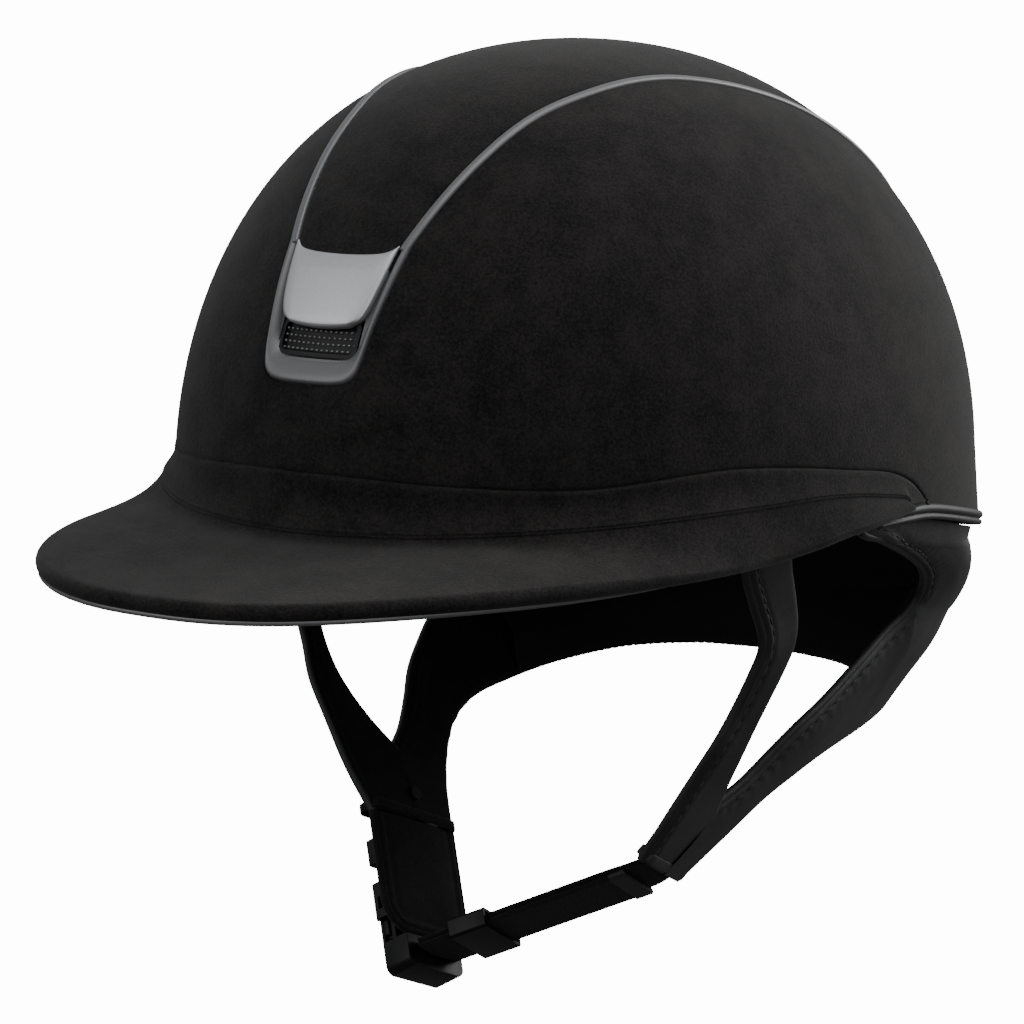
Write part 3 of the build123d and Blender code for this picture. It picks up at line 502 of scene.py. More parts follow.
top_seam = on_dome(smooth_path(TOP_SEAM, 200))
rail_line = on_dome(smooth_path(RAIL + [(49.6, 129, -20)], 300))
rear_rim = rim_point(np.linspace(math.atan2(111.8, -25.6), math.atan2(49.6, -129), 70), RIM_BEAD - 1.0)
cover_low = both_sides(resample(np.concatenate([top_seam, rear_rim[1:]]), 260))
frame_side = smooth_path([(x, 0, z) for x, z in FRAME_OUTER[::-1]], 80)
frame_side = brow_point(frame_side[:, 0], frame_side[:, 2])
frame_side = frame_side[frame_side[:, 2] < 104]
rail_edge = rail_line + array([0.6, 0, 0.4])
rail_edge = rail_edge[(rail_edge[:, 2] > 110) | (rail_edge[:, 1] > 0)]
cover_high = both_sides(resample(smooth_path(np.concatenate([frame_side[::8], rail_edge[::8]]), 600), 260))
shell_cover = panel_object("shell_cover_suede", [dome_panel(cover_low, cover_high, 60)], SUEDE)
place(shell_cover, "helmet", "suede", "shell_cover")

strip_left = on_dome(np.concatenate([[(16.6, -103.0, 101.6), (17.2, -101.0, 104.2)], rail_line + array([-0.9, 0, 0.2])]))
crown_grid = dome_panel(mirror_points(strip_left), strip_left, 44)
crown_cover = panel_object("crown_cover_suede", [crown_grid], SUEDE)


def cut_slot(piece, width, height, z):
    """Opens a round-ended slot in a back panel, a little inside the frame that hides its edge."""
    import bmesh
    work = bmesh.new()
    work.from_mesh(piece.data)
    doomed = []
    for face in work.faces:
        centre = face.calc_center_median() / MM
        beyond = max(abs(centre.x) - (width - height) / 2, 0)
        if centre.y > 0 and math.hypot(beyond, centre.z - z) < height / 2:
            doomed.append(face)
    bmesh.ops.delete(work, geom=doomed, context="FACES")
    work.to_mesh(piece.data)
    work.free()


cut_slot(crown_cover, 61, 15, 34)
place(crown_cover, "helmet", "suede", "crown_cover")


def bead_on_dome(name, line, half_width, top, bottom, material, power=2.4):
    direction = tangents(line)
    normal = dome_normal(line)
    side = unit(np.cross(direction, normal))
    return sweep_object(name, line, side, normal, round_profile(half_width, top, bottom, 14, power), material)


for side_name, line in (("left", rail_line[:-3]), ("right", mirror_points(rail_line[:-3]))):
    rail = bead_on_dome(f"crown_rail_{side_name}", line, RAIL_HALF, RAIL_HEIGHT, -1.6, GREY)
    place(rail, "helmet", "satin_grey", f"crown_trim_{side_name}")

# Rim trim: a wide rolled bead with a thinner one under it, from beneath the peak's end round the back.
RIM_PROFILE = [(-0.4, -1.6), (-0.5, 0.2), (-0.2, 0.75), (0.35, 1.0), (0.95, 0.85), (1.3, 0.35), (1.55, 0.3),
               (1.75, 0.85), (2.3, 1.3), (3.0, 1.4), (3.7, 1.15), (4.15, 0.5), (4.3, -0.2), (4.3, -1.6)]
rim_start = math.atan2(111.0, 2.0)
rim_angles = np.linspace(rim_start, 2 * math.pi - rim_start, 240)
rim_line = rim_point(rim_angles)
rim_ends = np.minimum(np.arange(240), np.arange(240)[::-1])[:, None]
rim_swell = 0.45 + 0.55 * smoothstep(rim_ends / 9.0)
rim_trim = sweep_object("rim_trim_bead", rim_line, unit(rim_point(rim_angles, 3.0) - rim_line) * rim_swell,
                        dome_normal(rim_line) * rim_swell, RIM_PROFILE, RIM_GREY)
place(rim_trim, "helmet", "satin_grey", "rim_trim")

# ---- hat band and peak --------------------------------------------------------------------------
BAND_COLUMNS = 220
low_line = smooth_path(LOW_SEAM, 10, even=False)
notch_at = int(np.argmin(np.linalg.norm(low_line - array(LOW_SEAM[SEAM_NOTCH]), axis=1)))
peak_part, band_tail = low_line[:notch_at + 1], low_line[notch_at:]
band_low = np.concatenate([resample(peak_part, BAND_COLUMNS), resample(band_tail, 24)[1:]])
band_high = resample(smooth_path(TOP_SEAM, 400), len(band_low))
lengths = np.concatenate([[0], np.cumsum(np.linalg.norm(np.diff(peak_part, axis=0), axis=1))])
along = np.concatenate([np.linspace(0, 1, BAND_COLUMNS), np.ones(23)])
FLARE = 4.3 * (1 - smoothstep((along - 0.42) / 0.58) * 0.62)
FLARE[BAND_COLUMNS - 1:] = np.linspace(FLARE[BAND_COLUMNS - 1], 0.6, 24)
FLARE_REACH = 11.0


def flare_height(distance, amount):
    return amount * np.clip(1 - distance / FLARE_REACH, 0, 1) ** 2.1


def band_grid():
    span = np.linalg.norm(band_high - band_low, axis=1)
    rows = []
    steps = [(0.0, -1.6), (0.0, -0.55), (0.25, -0.2), (0.6, -0.05), (1.1, 0.0)]
    for distance, height in steps:
        share = np.minimum(distance / span, 0.4)[:, None]
        rows.append(lifted(on_dome(band_low + (band_high - band_low) * share), height + flare_height(distance, FLARE)))
    for level in np.linspace(0, 1, 26)[1:-1] ** 1.25:
        share = (1.1 / span + (1 - 2.4 / span) * level)[:, None]
        distance = share[:, 0] * span
        rows.append(lifted(on_dome(band_low + (band_high - band_low) * share), flare_height(distance, FLARE) + 0.25))
    for distance, height in [(1.2, 0.2), (0.6, 0.1), (0.25, -0.15), (0.0, -0.6), (0.0, -2.0)]:
        share = 1 - np.minimum(distance / span, 0.4)[:, None]
        rows.append(lifted(on_dome(band_low + (band_high - band_low) * share), np.full(len(span), height)))
    return np.stack(rows)


left_band = band_grid()
band = np.concatenate([mirror_points(left_band[:, :0:-1]), left_band], axis=1)
hat_band = panel_object("hat_band_suede", [band], SUEDE)
place(hat_band, "helmet", "suede", "hat_band")


def peak_height(x):
    return PEAK_FLAT_Z - PEAK_DROP * np.minimum(np.abs(x / PEAK_HALF_WIDTH), 1.0) ** PEAK_DROP_POWER


def peak_outline():
    """Outermost line of the peak, from its tip round the left side to its point by the ear."""
    angles = np.linspace(0, math.pi / 2, 500)
    x = PEAK_HALF_WIDTH * np.sin(angles) ** (2 / PEAK_PLAN_POWER)
    y = PEAK_ROOT_Y + (PEAK_TIP_Y - PEAK_ROOT_Y) * np.cos(angles) ** (2 / PEAK_PLAN_POWER)
    front = np.stack([x, y, peak_height(x)], -1)[y < -66]
    return smooth_path(np.concatenate([front[::12], array(PEAK_SIDE_EDGE)]), 10, even=False)


seam_low = left_band[1, :BAND_COLUMNS]
outline = resample(peak_outline(), 600)
# columns leave the seam roughly square: front columns spread more slowly on the seam than on the outline
shares = np.linspace(0, 1, BAND_COLUMNS)
edge_line = resample(outline, 0, spacing=shares ** 0.93)
edge_way = tangents(edge_line)
edge_way[0] = array([1, 0, 0])
thick = PEAK_THICK * (1 - 0.5 * smoothstep((shares - 0.86) / 0.14))
arrive = edge_line - seam_low
arrive -= edge_way * np.sum(arrive * edge_way, axis=1, keepdims=True)
arrive = unit(arrive)
blend_down = smoothstep((shares - 0.5) / 0.3)[:, None]
arrive = unit(arrive * (1 - blend_down) + blend_down * unit(arrive * 0.4 + array([0.0, 0.0, -1.0])))
over = unit(np.cross(edge_way, arrive))
over *= np.sign(over @ array([0.3, -0.3, 1.0]))[:, None]
core = edge_line - arrive * (thick / 2)[:, None]


def peak_top_rows(rows=46):
    end = core + over * (thick / 2)[:, None]
    span = np.linalg.norm(end - seam_low, axis=1)
    base_start = peak_height(seam_low[:, 0]) + thick / 2
    base_end = peak_height(end[:, 0]) + thick / 2
    drop = np.maximum(seam_low[:, 2] - base_start, 1.2)
    grid = []
    for u in np.linspace(0, 1, rows) ** 1.35:
        spot = seam_low + (end - seam_low) * u
        base = peak_height(spot[:, 0]) + thick / 2
        settle = drop * (np.exp(-u * span / drop) - u * np.exp(-span / drop))
        start_gap = seam_low[:, 2] - base_start - drop
        z = base + (end[:, 2] - base_end) * u + settle + start_gap * (1 - u)
        grid.append(np.stack([spot[:, 0], spot[:, 1], z], -1))
    return np.stack(grid)


def roll_rows(first, last, steps, inset=0.0):
    """Round of the peak's edge between two angles, 90 on top and -90 underneath."""
    grid = []
    for angle in np.radians(np.linspace(first, last, steps)):
        radius = (thick / 2 - inset)[:, None]
        grid.append(core + radius * (math.cos(angle) * arrive + math.sin(angle) * over))
    return np.stack(grid)


def mirrored_grid(grid):
    """Left half of a grid continued across the centre line."""
    return np.concatenate([mirror_points(grid[:, :0:-1]), grid], axis=1)


tucked = left_band[0, :BAND_COLUMNS] * 0.5 + seam_low * 0.5
peak_rows = np.concatenate([tucked[None], peak_top_rows(), roll_rows(75, -42, 10)])
end_wall = peak_rows[:, -1:] + array([[[-1.6, 0.25, 0.0]]])
end_back = peak_rows[:, -1:] + array([[[-4.5, 0.25, 0.3]]])
peak_rows = np.concatenate([peak_rows, end_wall, end_back], axis=1)
peak_cover = panel_object("peak_cover_suede", [mirrored_grid(peak_rows)], SUEDE)
place(peak_cover, "helmet", "suede", "peak_cover")

under = core - over * (thick / 2)[:, None] - arrive * 1.0
inner_z = np.minimum(peak_height(seam_low[:, 0]) - thick / 2, seam_low[:, 2] - thick - 1.0)
inward = seam_low.copy()
inward[:, :2] -= unit(seam_low[:, :2]) * 9.0
inward[:, 2] = np.maximum(inner_z, rim_z(seam_low[:, 1]) + 1.2)
lining_rows = [roll_rows(-58, -90, 4)[i] for i in range(4)] + [under + (inward - under) * u for u in
                                                            np.linspace(0.02, 1, 24)]
peak_lining = panel_object("peak_lining", [mirrored_grid(np.stack(lining_rows))], LINING)
place(peak_lining, "helmet", "lining", "peak_lining")

piping_line = core + (thick / 2 - 0.15)[:, None] * (math.cos(math.radians(-50)) * arrive
                                                    + math.sin(math.radians(-50)) * over)
piping_line = mirrored_grid(piping_line[None])[0]


def tube_object(name, line, radius, material, closed=False, steps=10, flat=1.0):
    """Round cord along a line; a list of radii tapers it."""
    direction = tangents(line)
    if closed:
        direction = unit(np.roll(line, -1, 0) - np.roll(line, 1, 0))
    side = [unit(np.cross(direction[0], [0.21, 0.13, 0.97]))]
    for way in direction[1:]:
        turned = side[-1] - way * np.dot(side[-1], way)
        side.append(unit(turned))
    side = np.stack(side)
    up = unit(np.cross(side, direction))
    angles = np.linspace(0, 2 * math.pi, steps, endpoint=False)
    radius = np.broadcast_to(np.asarray(radius, float), (len(line),))[:, None, None]
    rings = line[:, None] + radius * (side[:, None] * np.cos(angles)[None, :, None]
                                      + flat * up[:, None] * np.sin(angles)[None, :, None])
    rows, columns = rings.shape[:2]
    if closed:
        rings = np.concatenate([rings, rings[:1]])
        rows += 1
    faces = grid_faces(rows, columns, wrap=True)
    if not closed:
        faces += [list(range(columns)), [(rows - 1) * columns + j for j in range(columns)]]
    piece = make_object(name, rings.reshape(-1, 3), faces, material)
    tidy_mesh(piece, 1e-3 if closed else 0.0)
    return piece


piping = tube_object("peak_piping_bead", piping_line, 0.95, GREY)
place(piping, "helmet", "satin_grey", "peak_piping")


# =================================================================================================
# Front vent: U frame, badge plate, dark housing with its mesh
# =================================================================================================
def outline_front(points, count):
    """Front-view outline from the left top round the foot to the right top, evenly sampled."""
    left = [(x, 0, z) for x, z in points]
    whole = left + [(-x, 0, z) for x, z in points[-2::-1]]
    return smooth_path(whole, count)


FRAME_COLUMNS = 150
outer_line = outline_front(FRAME_OUTER, FRAME_COLUMNS)
inner_line = outline_front(FRAME_INNER, FRAME_COLUMNS)
frame_width = np.linalg.norm(inner_line - outer_line, axis=1)
frame_rows = []
for distance, height in [(0.0, -1.6), (0.0, -0.1), (0.15, 0.35), (0.45, 0.72), (0.85, 0.92), (1.25, 0.96)]:
    share = np.minimum(distance / frame_width, 0.7)[:, None]
    spot = outer_line + (inner_line - outer_line) * share
    frame_rows.append(lifted(brow_point(spot[:, 0], spot[:, 2]), np.full(FRAME_COLUMNS, height)))
for level in np.linspace(0, 1, 16)[1:]:
    share = (1.25 / frame_width + (1 - 1.25 / frame_width) * level)[:, None]
    spot = outer_line + (inner_line - outer_line) * share
    sink = 0.96 - (level ** 1.7) * np.clip(frame_width * 0.62, 1.6, 3.7)
    frame_rows.append(lifted(brow_point(spot[:, 0], spot[:, 2]), sink))
frame_rows.append(frame_rows[-1] + dome_normal(frame_rows[-1]) * -1.0)
front_frame = panel_object("front_frame_bead", [np.stack(frame_rows)], GREY)
place(front_frame, "helmet", "satin_grey", "front_frame")

# Badge plate: plain, its top corners drawn up into points.
plate_side = smooth_path([(x, 0, z) for x, z in PLATE_SIDE[:-1]], 60)
plate_rows = edge_rows(40, 0.8, 18)
plate_columns = edge_rows(50, 0.8, 28)
side_line = resample(plate_side, 0, spacing=1 - plate_rows)
plate = np.zeros((len(plate_rows), len(plate_columns), 3))
for i, row in enumerate(plate_rows):
    half = side_line[i, 0]
    across = (plate_columns * 2 - 1) * half
    share = np.abs(plate_columns * 2 - 1)
    foot_sag = -0.55 * (1 - share ** 2) * (1 - row) ** 2
    spire = PLATE_SPIRE * (0.72 * share ** 9 + 0.28 * share ** 2 - 1) * smoothstep((row - 0.35) / 0.65)
    z = side_line[i, 2] + foot_sag + spire
    rim_gap = np.minimum(np.minimum(plate_columns, 1 - plate_columns) * 2 * half, min(row, 1 - row) * 18)
    dish = 0.35 * smoothstep(rim_gap / 4.0)
    height = 0.55 + 0.45 * smoothstep(rim_gap / 0.9) + dish
    plate[i] = lifted(brow_point(across, z), height)
skirt = [(plate[0], -2.0), (plate[-1], -2.0)]
front_edge = np.concatenate([plate[0], plate[1:, -1], plate[-1, -2::-1], plate[-2:0:-1, 0]])
wall = np.stack([front_edge, front_edge - dome_normal(front_edge) * 2.2])
wall = np.concatenate([wall, wall[:, :1]], axis=1)
badge_plate = panel_object("badge_plate_face", [plate, wall], BADGE, weld=0.01)
place(badge_plate, "helmet", "badge", "badge_plate")

# Housing floor behind the plate, its lower part pierced by a fine mesh with raised studs.
housing_rows = []
for level in np.linspace(0, 1, 30):
    z = 78.6 + (108.4 - 78.6) * level
    half = np.interp(z, [78.6, 83, 87.4, 97, 108.5], [12.6, 14.2, 15.3, 16.8, 18.2])
    housing_rows.append(lifted(brow_point(np.linspace(-half, half, 40), np.full(40, z)), np.full(40, -2.3)))
housing = panel_object("vent_housing_floor", [np.stack(housing_rows)], BLACK)
place(housing, "helmet", "gloss_black", "vent_housing")


def stud_grid(name, places, radius, height, material):
    """Small domes standing on the dome's skin."""
    vertices, faces = [], []
    for base in places:
        normal = dome_normal(base)
        side = unit(np.cross(normal, [0.0, 0.2, 1.0]))
        up = np.cross(normal, side)
        start = sum(len(block) for block in vertices)
        block = []
        for tilt in np.linspace(0, math.pi / 2, 4)[:-1]:
            for turn in np.linspace(0, 2 * math.pi, 8, endpoint=False):
                block.append(base + radius * math.cos(tilt) * (side * math.cos(turn) + up * math.sin(turn))
                             + normal * height * math.sin(tilt))
        block.append(base + normal * height)
        vertices.append(block)
        faces += grid_faces(3, 8, start, wrap=True)
        faces += [[start + 16 + k, start + 16 + (k + 1) % 8, start + 24] for k in range(8)]
    return make_object(name, np.concatenate(vertices), faces, material)


studs = [lifted(brow_point(x, z), -2.35) for z in (81.9, 83.5, 85.1, 86.7) for x in np.linspace(-11.9, 11.9, 15)]
front_mesh = stud_grid("vent_mesh_studs", studs, 0.46, 0.6, STUD)
place(front_mesh, "helmet", "gloss_black", "front_vent_mesh")


# =================================================================================================
# Rear vent
# =================================================================================================
def back_point(x, z):
    x, z = np.broadcast_arrays(np.asarray(x, float), np.asarray(z, float))
    origin = np.stack([x, np.zeros_like(x), z], -1)
    return cast(origin, np.broadcast_to(array([0, 1, 0]), origin.shape))


def slot_outline(width, height, z, count):
    """Round-ended slot, evenly sampled, open at the seam."""
    radius = height / 2
    half = width / 2 - radius
    turn = np.linspace(-math.pi / 2, math.pi / 2, 24)
    right = [(half + radius * math.cos(a), 0, z + radius * math.sin(a)) for a in turn]
    left = [(-half - radius * math.cos(a), 0, z - radius * math.sin(a)) for a in turn]
    loop = resample(array(right + left + right[:1]), count + 1)[:-1]
    return back_point(loop[:, 0], loop[:, 2])


vent_loop = slot_outline(62.0, 16.0, 34.0, 160)
vent_way = unit(np.roll(vent_loop, -1, 0) - np.roll(vent_loop, 1, 0))
vent_out = dome_normal(vent_loop)
rear_frame = sweep_object("rear_vent_bead", vent_loop, unit(np.cross(vent_way, vent_out)), vent_out,
                          round_profile(1.9, 1.1, -2.4, 14), GREY, closed=True)
place(rear_frame, "helmet", "satin_grey", "rear_vent_frame")

vent_floor = []
for z in np.linspace(26.5, 41.5, 8):
    vent_floor.append(lifted(back_point(np.linspace(-31, 31, 50), np.full(50, z)), np.full(50, -2.6)))
bars = [vent_floor and np.stack(vent_floor)]
for x in (np.arange(13) - 6) * 4.4:
    columns = []
    for across, height in ((-0.9, -2.6), (-0.9, -1.0), (-0.5, -0.65), (0.5, -0.65), (0.9, -1.0), (0.9, -2.6)):
        columns.append(lifted(back_point(np.full(6, x + across), np.linspace(27.0, 41.0, 6)), np.full(6, height)))
    bars.append(np.stack(columns))
rear_mesh = panel_object("rear_vent_bars", bars, BLACK)
place(rear_mesh, "helmet", "gloss_black", "rear_vent_mesh")


# =================================================================================================
# Leather harness
# =================================================================================================
LEATHER_THICK = 4.6
BIND_RADIUS = 1.35
TURNED_EDGE = 2.8
STITCH_INSET = 2.9
STRAP_END = array([45.0, -27.5, -94.0])
STRAP_DOWN = unit(array([-0.478, -0.535, -0.697]))
STRAP_ACROSS = unit(array([-0.214, 0.839, -0.497]))
STRAP_END_HALF = 17.6
CROTCH = array([59.3, -15.2, -75.0])
END_FRONT = STRAP_END - STRAP_ACROSS * STRAP_END_HALF
END_REAR = STRAP_END + STRAP_ACROSS * STRAP_END_HALF


def nape_top(local):
    return np.stack([local[:, 0], 24 + 0.9496 * local[:, 1], 8.3 - 0.3134 * local[:, 1]], -1)


# Lines on the wearer's left. The nape runs from the middle of the back to the ear opening.
rim_side = nape_top(smooth_path([(0, 119), (28, 116), (51.5, 106), (82.3, 80.5), (100.2, 45), (105.0, 17), (106, -8),
                                 (106.4, -33)], 120))
EAR_LINE = [tuple(rim_side[-1]), (106.2, -7.3, 12.4), (105, 7.0, 5.8), (102.4, 24.2, -2.3), (98.6, 40.8, -10.4),
            (94.3, 54.2, -18.2), (90.6, 61.5, -24.4), (87.2, 64.2, -30.2), (84.3, 61.0, -35.0),
            (81.6, 54.6, -38.4), (78.6, 41.4, -45.1), (74.8, 24.7, -53.3), (71.0, 13.0, -59.0), (66.4, 3.4, -65.6),
            (62.4, -6.0, -71.6), tuple(CROTCH)]
FOOT_LINE = [(0, 124, -76), (28, 119, -76), (48, 106, -76), (59.5, 85, -76), (63.6, 61.2, -75.4),
             (64.2, 36, -75.4), (61.6, 21.5, -78.3), (57.2, 10.5, -83), (50.6, -1.0, -91.5), tuple(END_REAR)]
FRONT_FRONT = [(94.4, -50.0, 26), (91.4, -47.2, 15), (89.0, -42.9, 6), (87.6, -37.1, -4), (86.2, -30.6, -15.6),
               (84.6, -29.1, -21), (82.5, -29.6, -26), (77.8, -32.2, -36.8), (73.2, -36.0, -46.8),
               (66.6, -38.4, -57.6), (57.6, -41.2, -72.2), tuple(END_FRONT)]
FRONT_REAR = [(97.6, -31.0, 26), (94.8, -28.0, 15), (92.2, -24.0, 5.2), (90.5, -19.6, -4.4), (88.8, -16.0, -13.4),
              (87.0, -15.3, -21.4), (85.0, -17.2, -27.8), (80.5, -21.0, -39.1), (75.7, -22.2, -48.6),
              (70.4, -21.2, -57.7), (64.8, -18.8, -66.6), tuple(CROTCH)]


def coons(top, bottom, left, right, rows, columns):
    """Patch between four edge lines; top and bottom run left to right, left and right run top to bottom."""
    top, bottom = resample(top, columns), resample(bottom, columns)
    left, right = resample(left, rows), resample(right, rows)
    u = np.linspace(0, 1, columns)[None, :, None]
    v = np.linspace(0, 1, rows)[:, None, None]
    grid = (1 - v) * top[None] + v * bottom[None] + (1 - u) * left[:, None] + u * right[:, None]
    return grid - ((1 - u) * (1 - v) * top[0] + u * (1 - v) * top[-1]
                   + (1 - u) * v * bottom[0] + u * v * bottom[-1])


def grid_normals(grid):
    down, across = np.gradient(grid, axis=0), np.gradient(grid, axis=1)
    return unit(np.cross(across, down))


def nearest(points, line):
    """Distance from points to a line, and how far along it the nearest spot lies."""
    flat = points.reshape(-1, 3)
    lengths = np.concatenate([[0], np.cumsum(np.linalg.norm(np.diff(line, axis=0), axis=1))])
    best = np.full(len(flat), 1e9)
    where = np.zeros(len(flat))
    for spot, length in zip(line, lengths):
        gap = np.linalg.norm(flat - spot, axis=1)
        closer = gap < best
        best[closer] = gap[closer]
        where[closer] = length
    return best.reshape(points.shape[:-1]), where.reshape(points.shape[:-1])


def wavy(values, seed, count=6):
    """Smooth uneven wave built from a few sines."""
    state = np.random.RandomState(seed)
    total = np.zeros_like(values)
    for _ in range(count):
        total += np.sin(values * state.uniform(0.35, 1.6) + state.uniform(0, 6.28)) * state.uniform(0.4, 1)
    return total / count


ear_line = smooth_path(EAR_LINE, 300)
foot_line = smooth_path(FOOT_LINE, 300)
front_front = smooth_path(FRONT_FRONT, 260)
front_rear = smooth_path(FRONT_REAR, 260)
strap_split = int(np.argmin(np.linalg.norm(ear_line - array([86.0, 63.4, -32.4]), axis=1)))
foot_split = int(np.argmin(np.linalg.norm(foot_line - array([63.6, 61.2, -75.4]), axis=1)))
seam_path = np.stack([np.linspace(CROTCH[k], STRAP_END[k], 40) for k in range(3)], -1)

# nape patch: left half from the back's middle line to the ear opening and the root of the rear strap
middle_back = smooth_path([tuple(rim_side[0]), (0, 138, -45), (0, 131.5, -62), (0, 124, -76)], 60)
root_line = smooth_path([tuple(ear_line[strap_split]), (80.5, 64.2, -47), (71.5, 62.8, -62),
                         tuple(foot_line[foot_split])], 40)
nape_right = np.concatenate([ear_line[:strap_split + 1], root_line[1:]])
nape_grid = coons(rim_side, foot_line[:foot_split + 1], middle_back, nape_right, 84, 120)
# rear strap, from its root to the seam below the crotch, and on to the leather end
upper_edge = np.concatenate([ear_line[strap_split:], seam_path[1:]])
rear_grid = coons(upper_edge, foot_line[foot_split:], root_line, np.stack([seam_path[-1], END_REAR]), 36, 130)
front_edge_line = front_front
rear_edge_line = np.concatenate([front_rear, seam_path[1:]])
front_grid = coons(front_edge_line, rear_edge_line, np.stack([front_front[0], front_rear[0]]),
                   np.stack([END_FRONT, seam_path[-1]]), 30, 150)


def outward(grid):
    """Normals of a left-hand patch, facing away from the head."""
    normals = grid_normals(grid)
    away = grid - array([0.0, 20.0, -30.0])
    flip = np.sign(np.sum(normals * away))
    return normals * flip


def dressed(grid, edges, seed, groove=0.5, pucker=0.22, inset=2.9, belly=0.8):
    """Surface offset: pressed down along the stitch row, puckered between stitches, fuller away from it."""
    offset = np.zeros(grid.shape[:2])
    closest = np.full(grid.shape[:2], 1e9)
    for index, edge in enumerate(edges):
        gap, along = nearest(grid, edge)
        row = np.exp(-((gap - inset) / 0.9) ** 2)
        offset -= groove * row
        near = np.exp(-((gap - inset - 1.6) / 2.2) ** 2)
        offset += pucker * near * (0.55 * wavy(along, seed + index) + 0.45 * np.sin(along * 2 * math.pi / 4.4))
        closest = np.minimum(closest, gap)
    offset += belly * smoothstep((closest - inset) / 12.0)
    return offset, closest


def leather_piece(grid, normals, bound_edge, free_edge, seed, **shape):
    """Outer and inner faces of a harness part: one edge is bound and sewn, the free one is turned round."""
    offset, closest = dressed(grid, [bound_edge], seed, **shape)
    turn = np.clip(nearest(grid, free_edge)[0] / TURNED_EDGE, 0, 1)
    closing = np.sqrt(1 - (1 - turn) ** 2)
    half = LEATHER_THICK / 2 * (0.35 + 0.65 * smoothstep(closest / 2.0))
    outer = grid + normals * ((offset + half) * closing)[..., None]
    inner = grid - normals * ((offset * 0.6 + half) * closing)[..., None]
    return outer, inner


def stitch_row(name, grid, normals, offset_edge, inset, material, pitch=4.4, length=2.9, radius=0.34, lift=2.05):
    """Dashes of thread along a line that keeps a set distance from a free edge."""
    gap, along = nearest(grid, offset_edge)
    total = np.linalg.norm(np.diff(offset_edge, axis=0), axis=1).sum()
    dashes = []
    for start in np.arange(pitch * 1.5, total - pitch * 1.2, pitch):
        ends = []
        for spot in (start - length / 2, start, start + length / 2):
            score = np.abs(gap - inset) * 1.3 + np.abs(along - spot)
            index = np.argpartition(score.ravel(), 5)[:5]
            weight = 1 / (score.ravel()[index] + 0.05)
            ends.append((grid.reshape(-1, 3)[index] * weight[:, None]).sum(0) / weight.sum()
                        + unit((normals.reshape(-1, 3)[index] * weight[:, None]).sum(0)) * (lift - 0.15))
        if np.linalg.norm(ends[2] - ends[0]) > length * 0.55:
            way = unit(ends[2] - ends[0])
            middle = (ends[0] + ends[2]) / 2
            dashes.append((middle - way * length / 2, middle + way * length / 2,
                           unit(middle - array([0.0, 20.0, -30.0]))))
    vertices, faces = [], []
    for start, end, _ in dashes:
        way = unit(end - start)
        side = unit(np.cross(way, [0.3, 0.5, 0.8]))
        up = np.cross(side, way)
        base = len(vertices)
        for share, size in ((0.0, 0.25), (0.12, 0.85), (0.5, 1.0), (0.88, 0.85), (1.0, 0.25)):
            for turn in np.linspace(0, 2 * math.pi, 6, endpoint=False):
                vertices.append(start + (end - start) * share
                                + radius * size * (side * math.cos(turn) + up * math.sin(turn)))
        faces += grid_faces(5, 6, base, wrap=True)
    return make_object(name, vertices, faces, material)


def add_mirrored(piece, name):
    """A mirror-image copy of a piece on the wearer's right."""
    mesh = piece.data.copy()
    mesh.transform(Matrix.Scale(-1, 4, Vector((1, 0, 0))))
    mesh.flip_normals()
    mesh.name = name
    twin = bpy.data.objects.new(name, mesh)
    bpy.context.scene.collection.objects.link(twin)
    return twin


def line_normals(line, *patches):
    """Mean normal of the patches that meet along a line."""
    total = np.zeros_like(line)
    for grid, normals in patches:
        flat = grid.reshape(-1, 3)
        closest = [int(np.argmin(np.linalg.norm(flat - spot, axis=1))) for spot in line]
        total += normals.reshape(-1, 3)[closest]
    return unit(total)


def eased_normals(grid, normals, line, target, reach):
    """Normals that turn to the target ones near a line, so that neighbouring patches meet there."""
    gap, along = nearest(grid, line)
    lengths = np.concatenate([[0], np.cumsum(np.linalg.norm(np.diff(line, axis=0), axis=1))])
    carried = np.stack([np.interp(along, lengths, target[:, k]) for k in range(3)], -1)
    share = smoothstep(1 - gap / reach)[..., None]
    return unit(normals * (1 - share) + carried * share)


nape_normals = outward(nape_grid)
rear_normals = outward(rear_grid)
front_normals = outward(front_grid)
rear_normals = eased_normals(rear_grid, rear_normals, root_line, line_normals(root_line, (nape_grid, nape_normals)),
                             22.0)
seam_normals = line_normals(seam_path, (rear_grid, rear_normals), (front_grid, front_normals))
rear_normals = eased_normals(rear_grid, rear_normals, seam_path, seam_normals, 9.0)
front_normals = eased_normals(front_grid, front_normals, seam_path, seam_normals, 9.0)

nape_outer, nape_inner = leather_piece(nape_grid, nape_normals, ear_line, foot_line, 3)
padding = smoothstep(nearest(nape_grid, ear_line)[0] / 16.0) * smoothstep(nearest(nape_grid, foot_line)[0] / 14.0)
nape_inner = nape_inner - nape_normals * (4.2 * padding)[..., None]
whole_outer = np.concatenate([mirror_points(nape_outer[:, :0:-1]), nape_outer], axis=1)
whole_inner = np.concatenate([mirror_points(nape_inner[:, :0:-1]), nape_inner], axis=1)
nape = panel_object("nape_leather", [whole_outer], LEATHER)
place(nape, "helmet", "leather", "nape_panel", "nape_foam")
nape_lining = panel_object("nape_lining_pad", [whole_inner], LINING)
place(nape_lining, "helmet", "lining", "nape_lining")

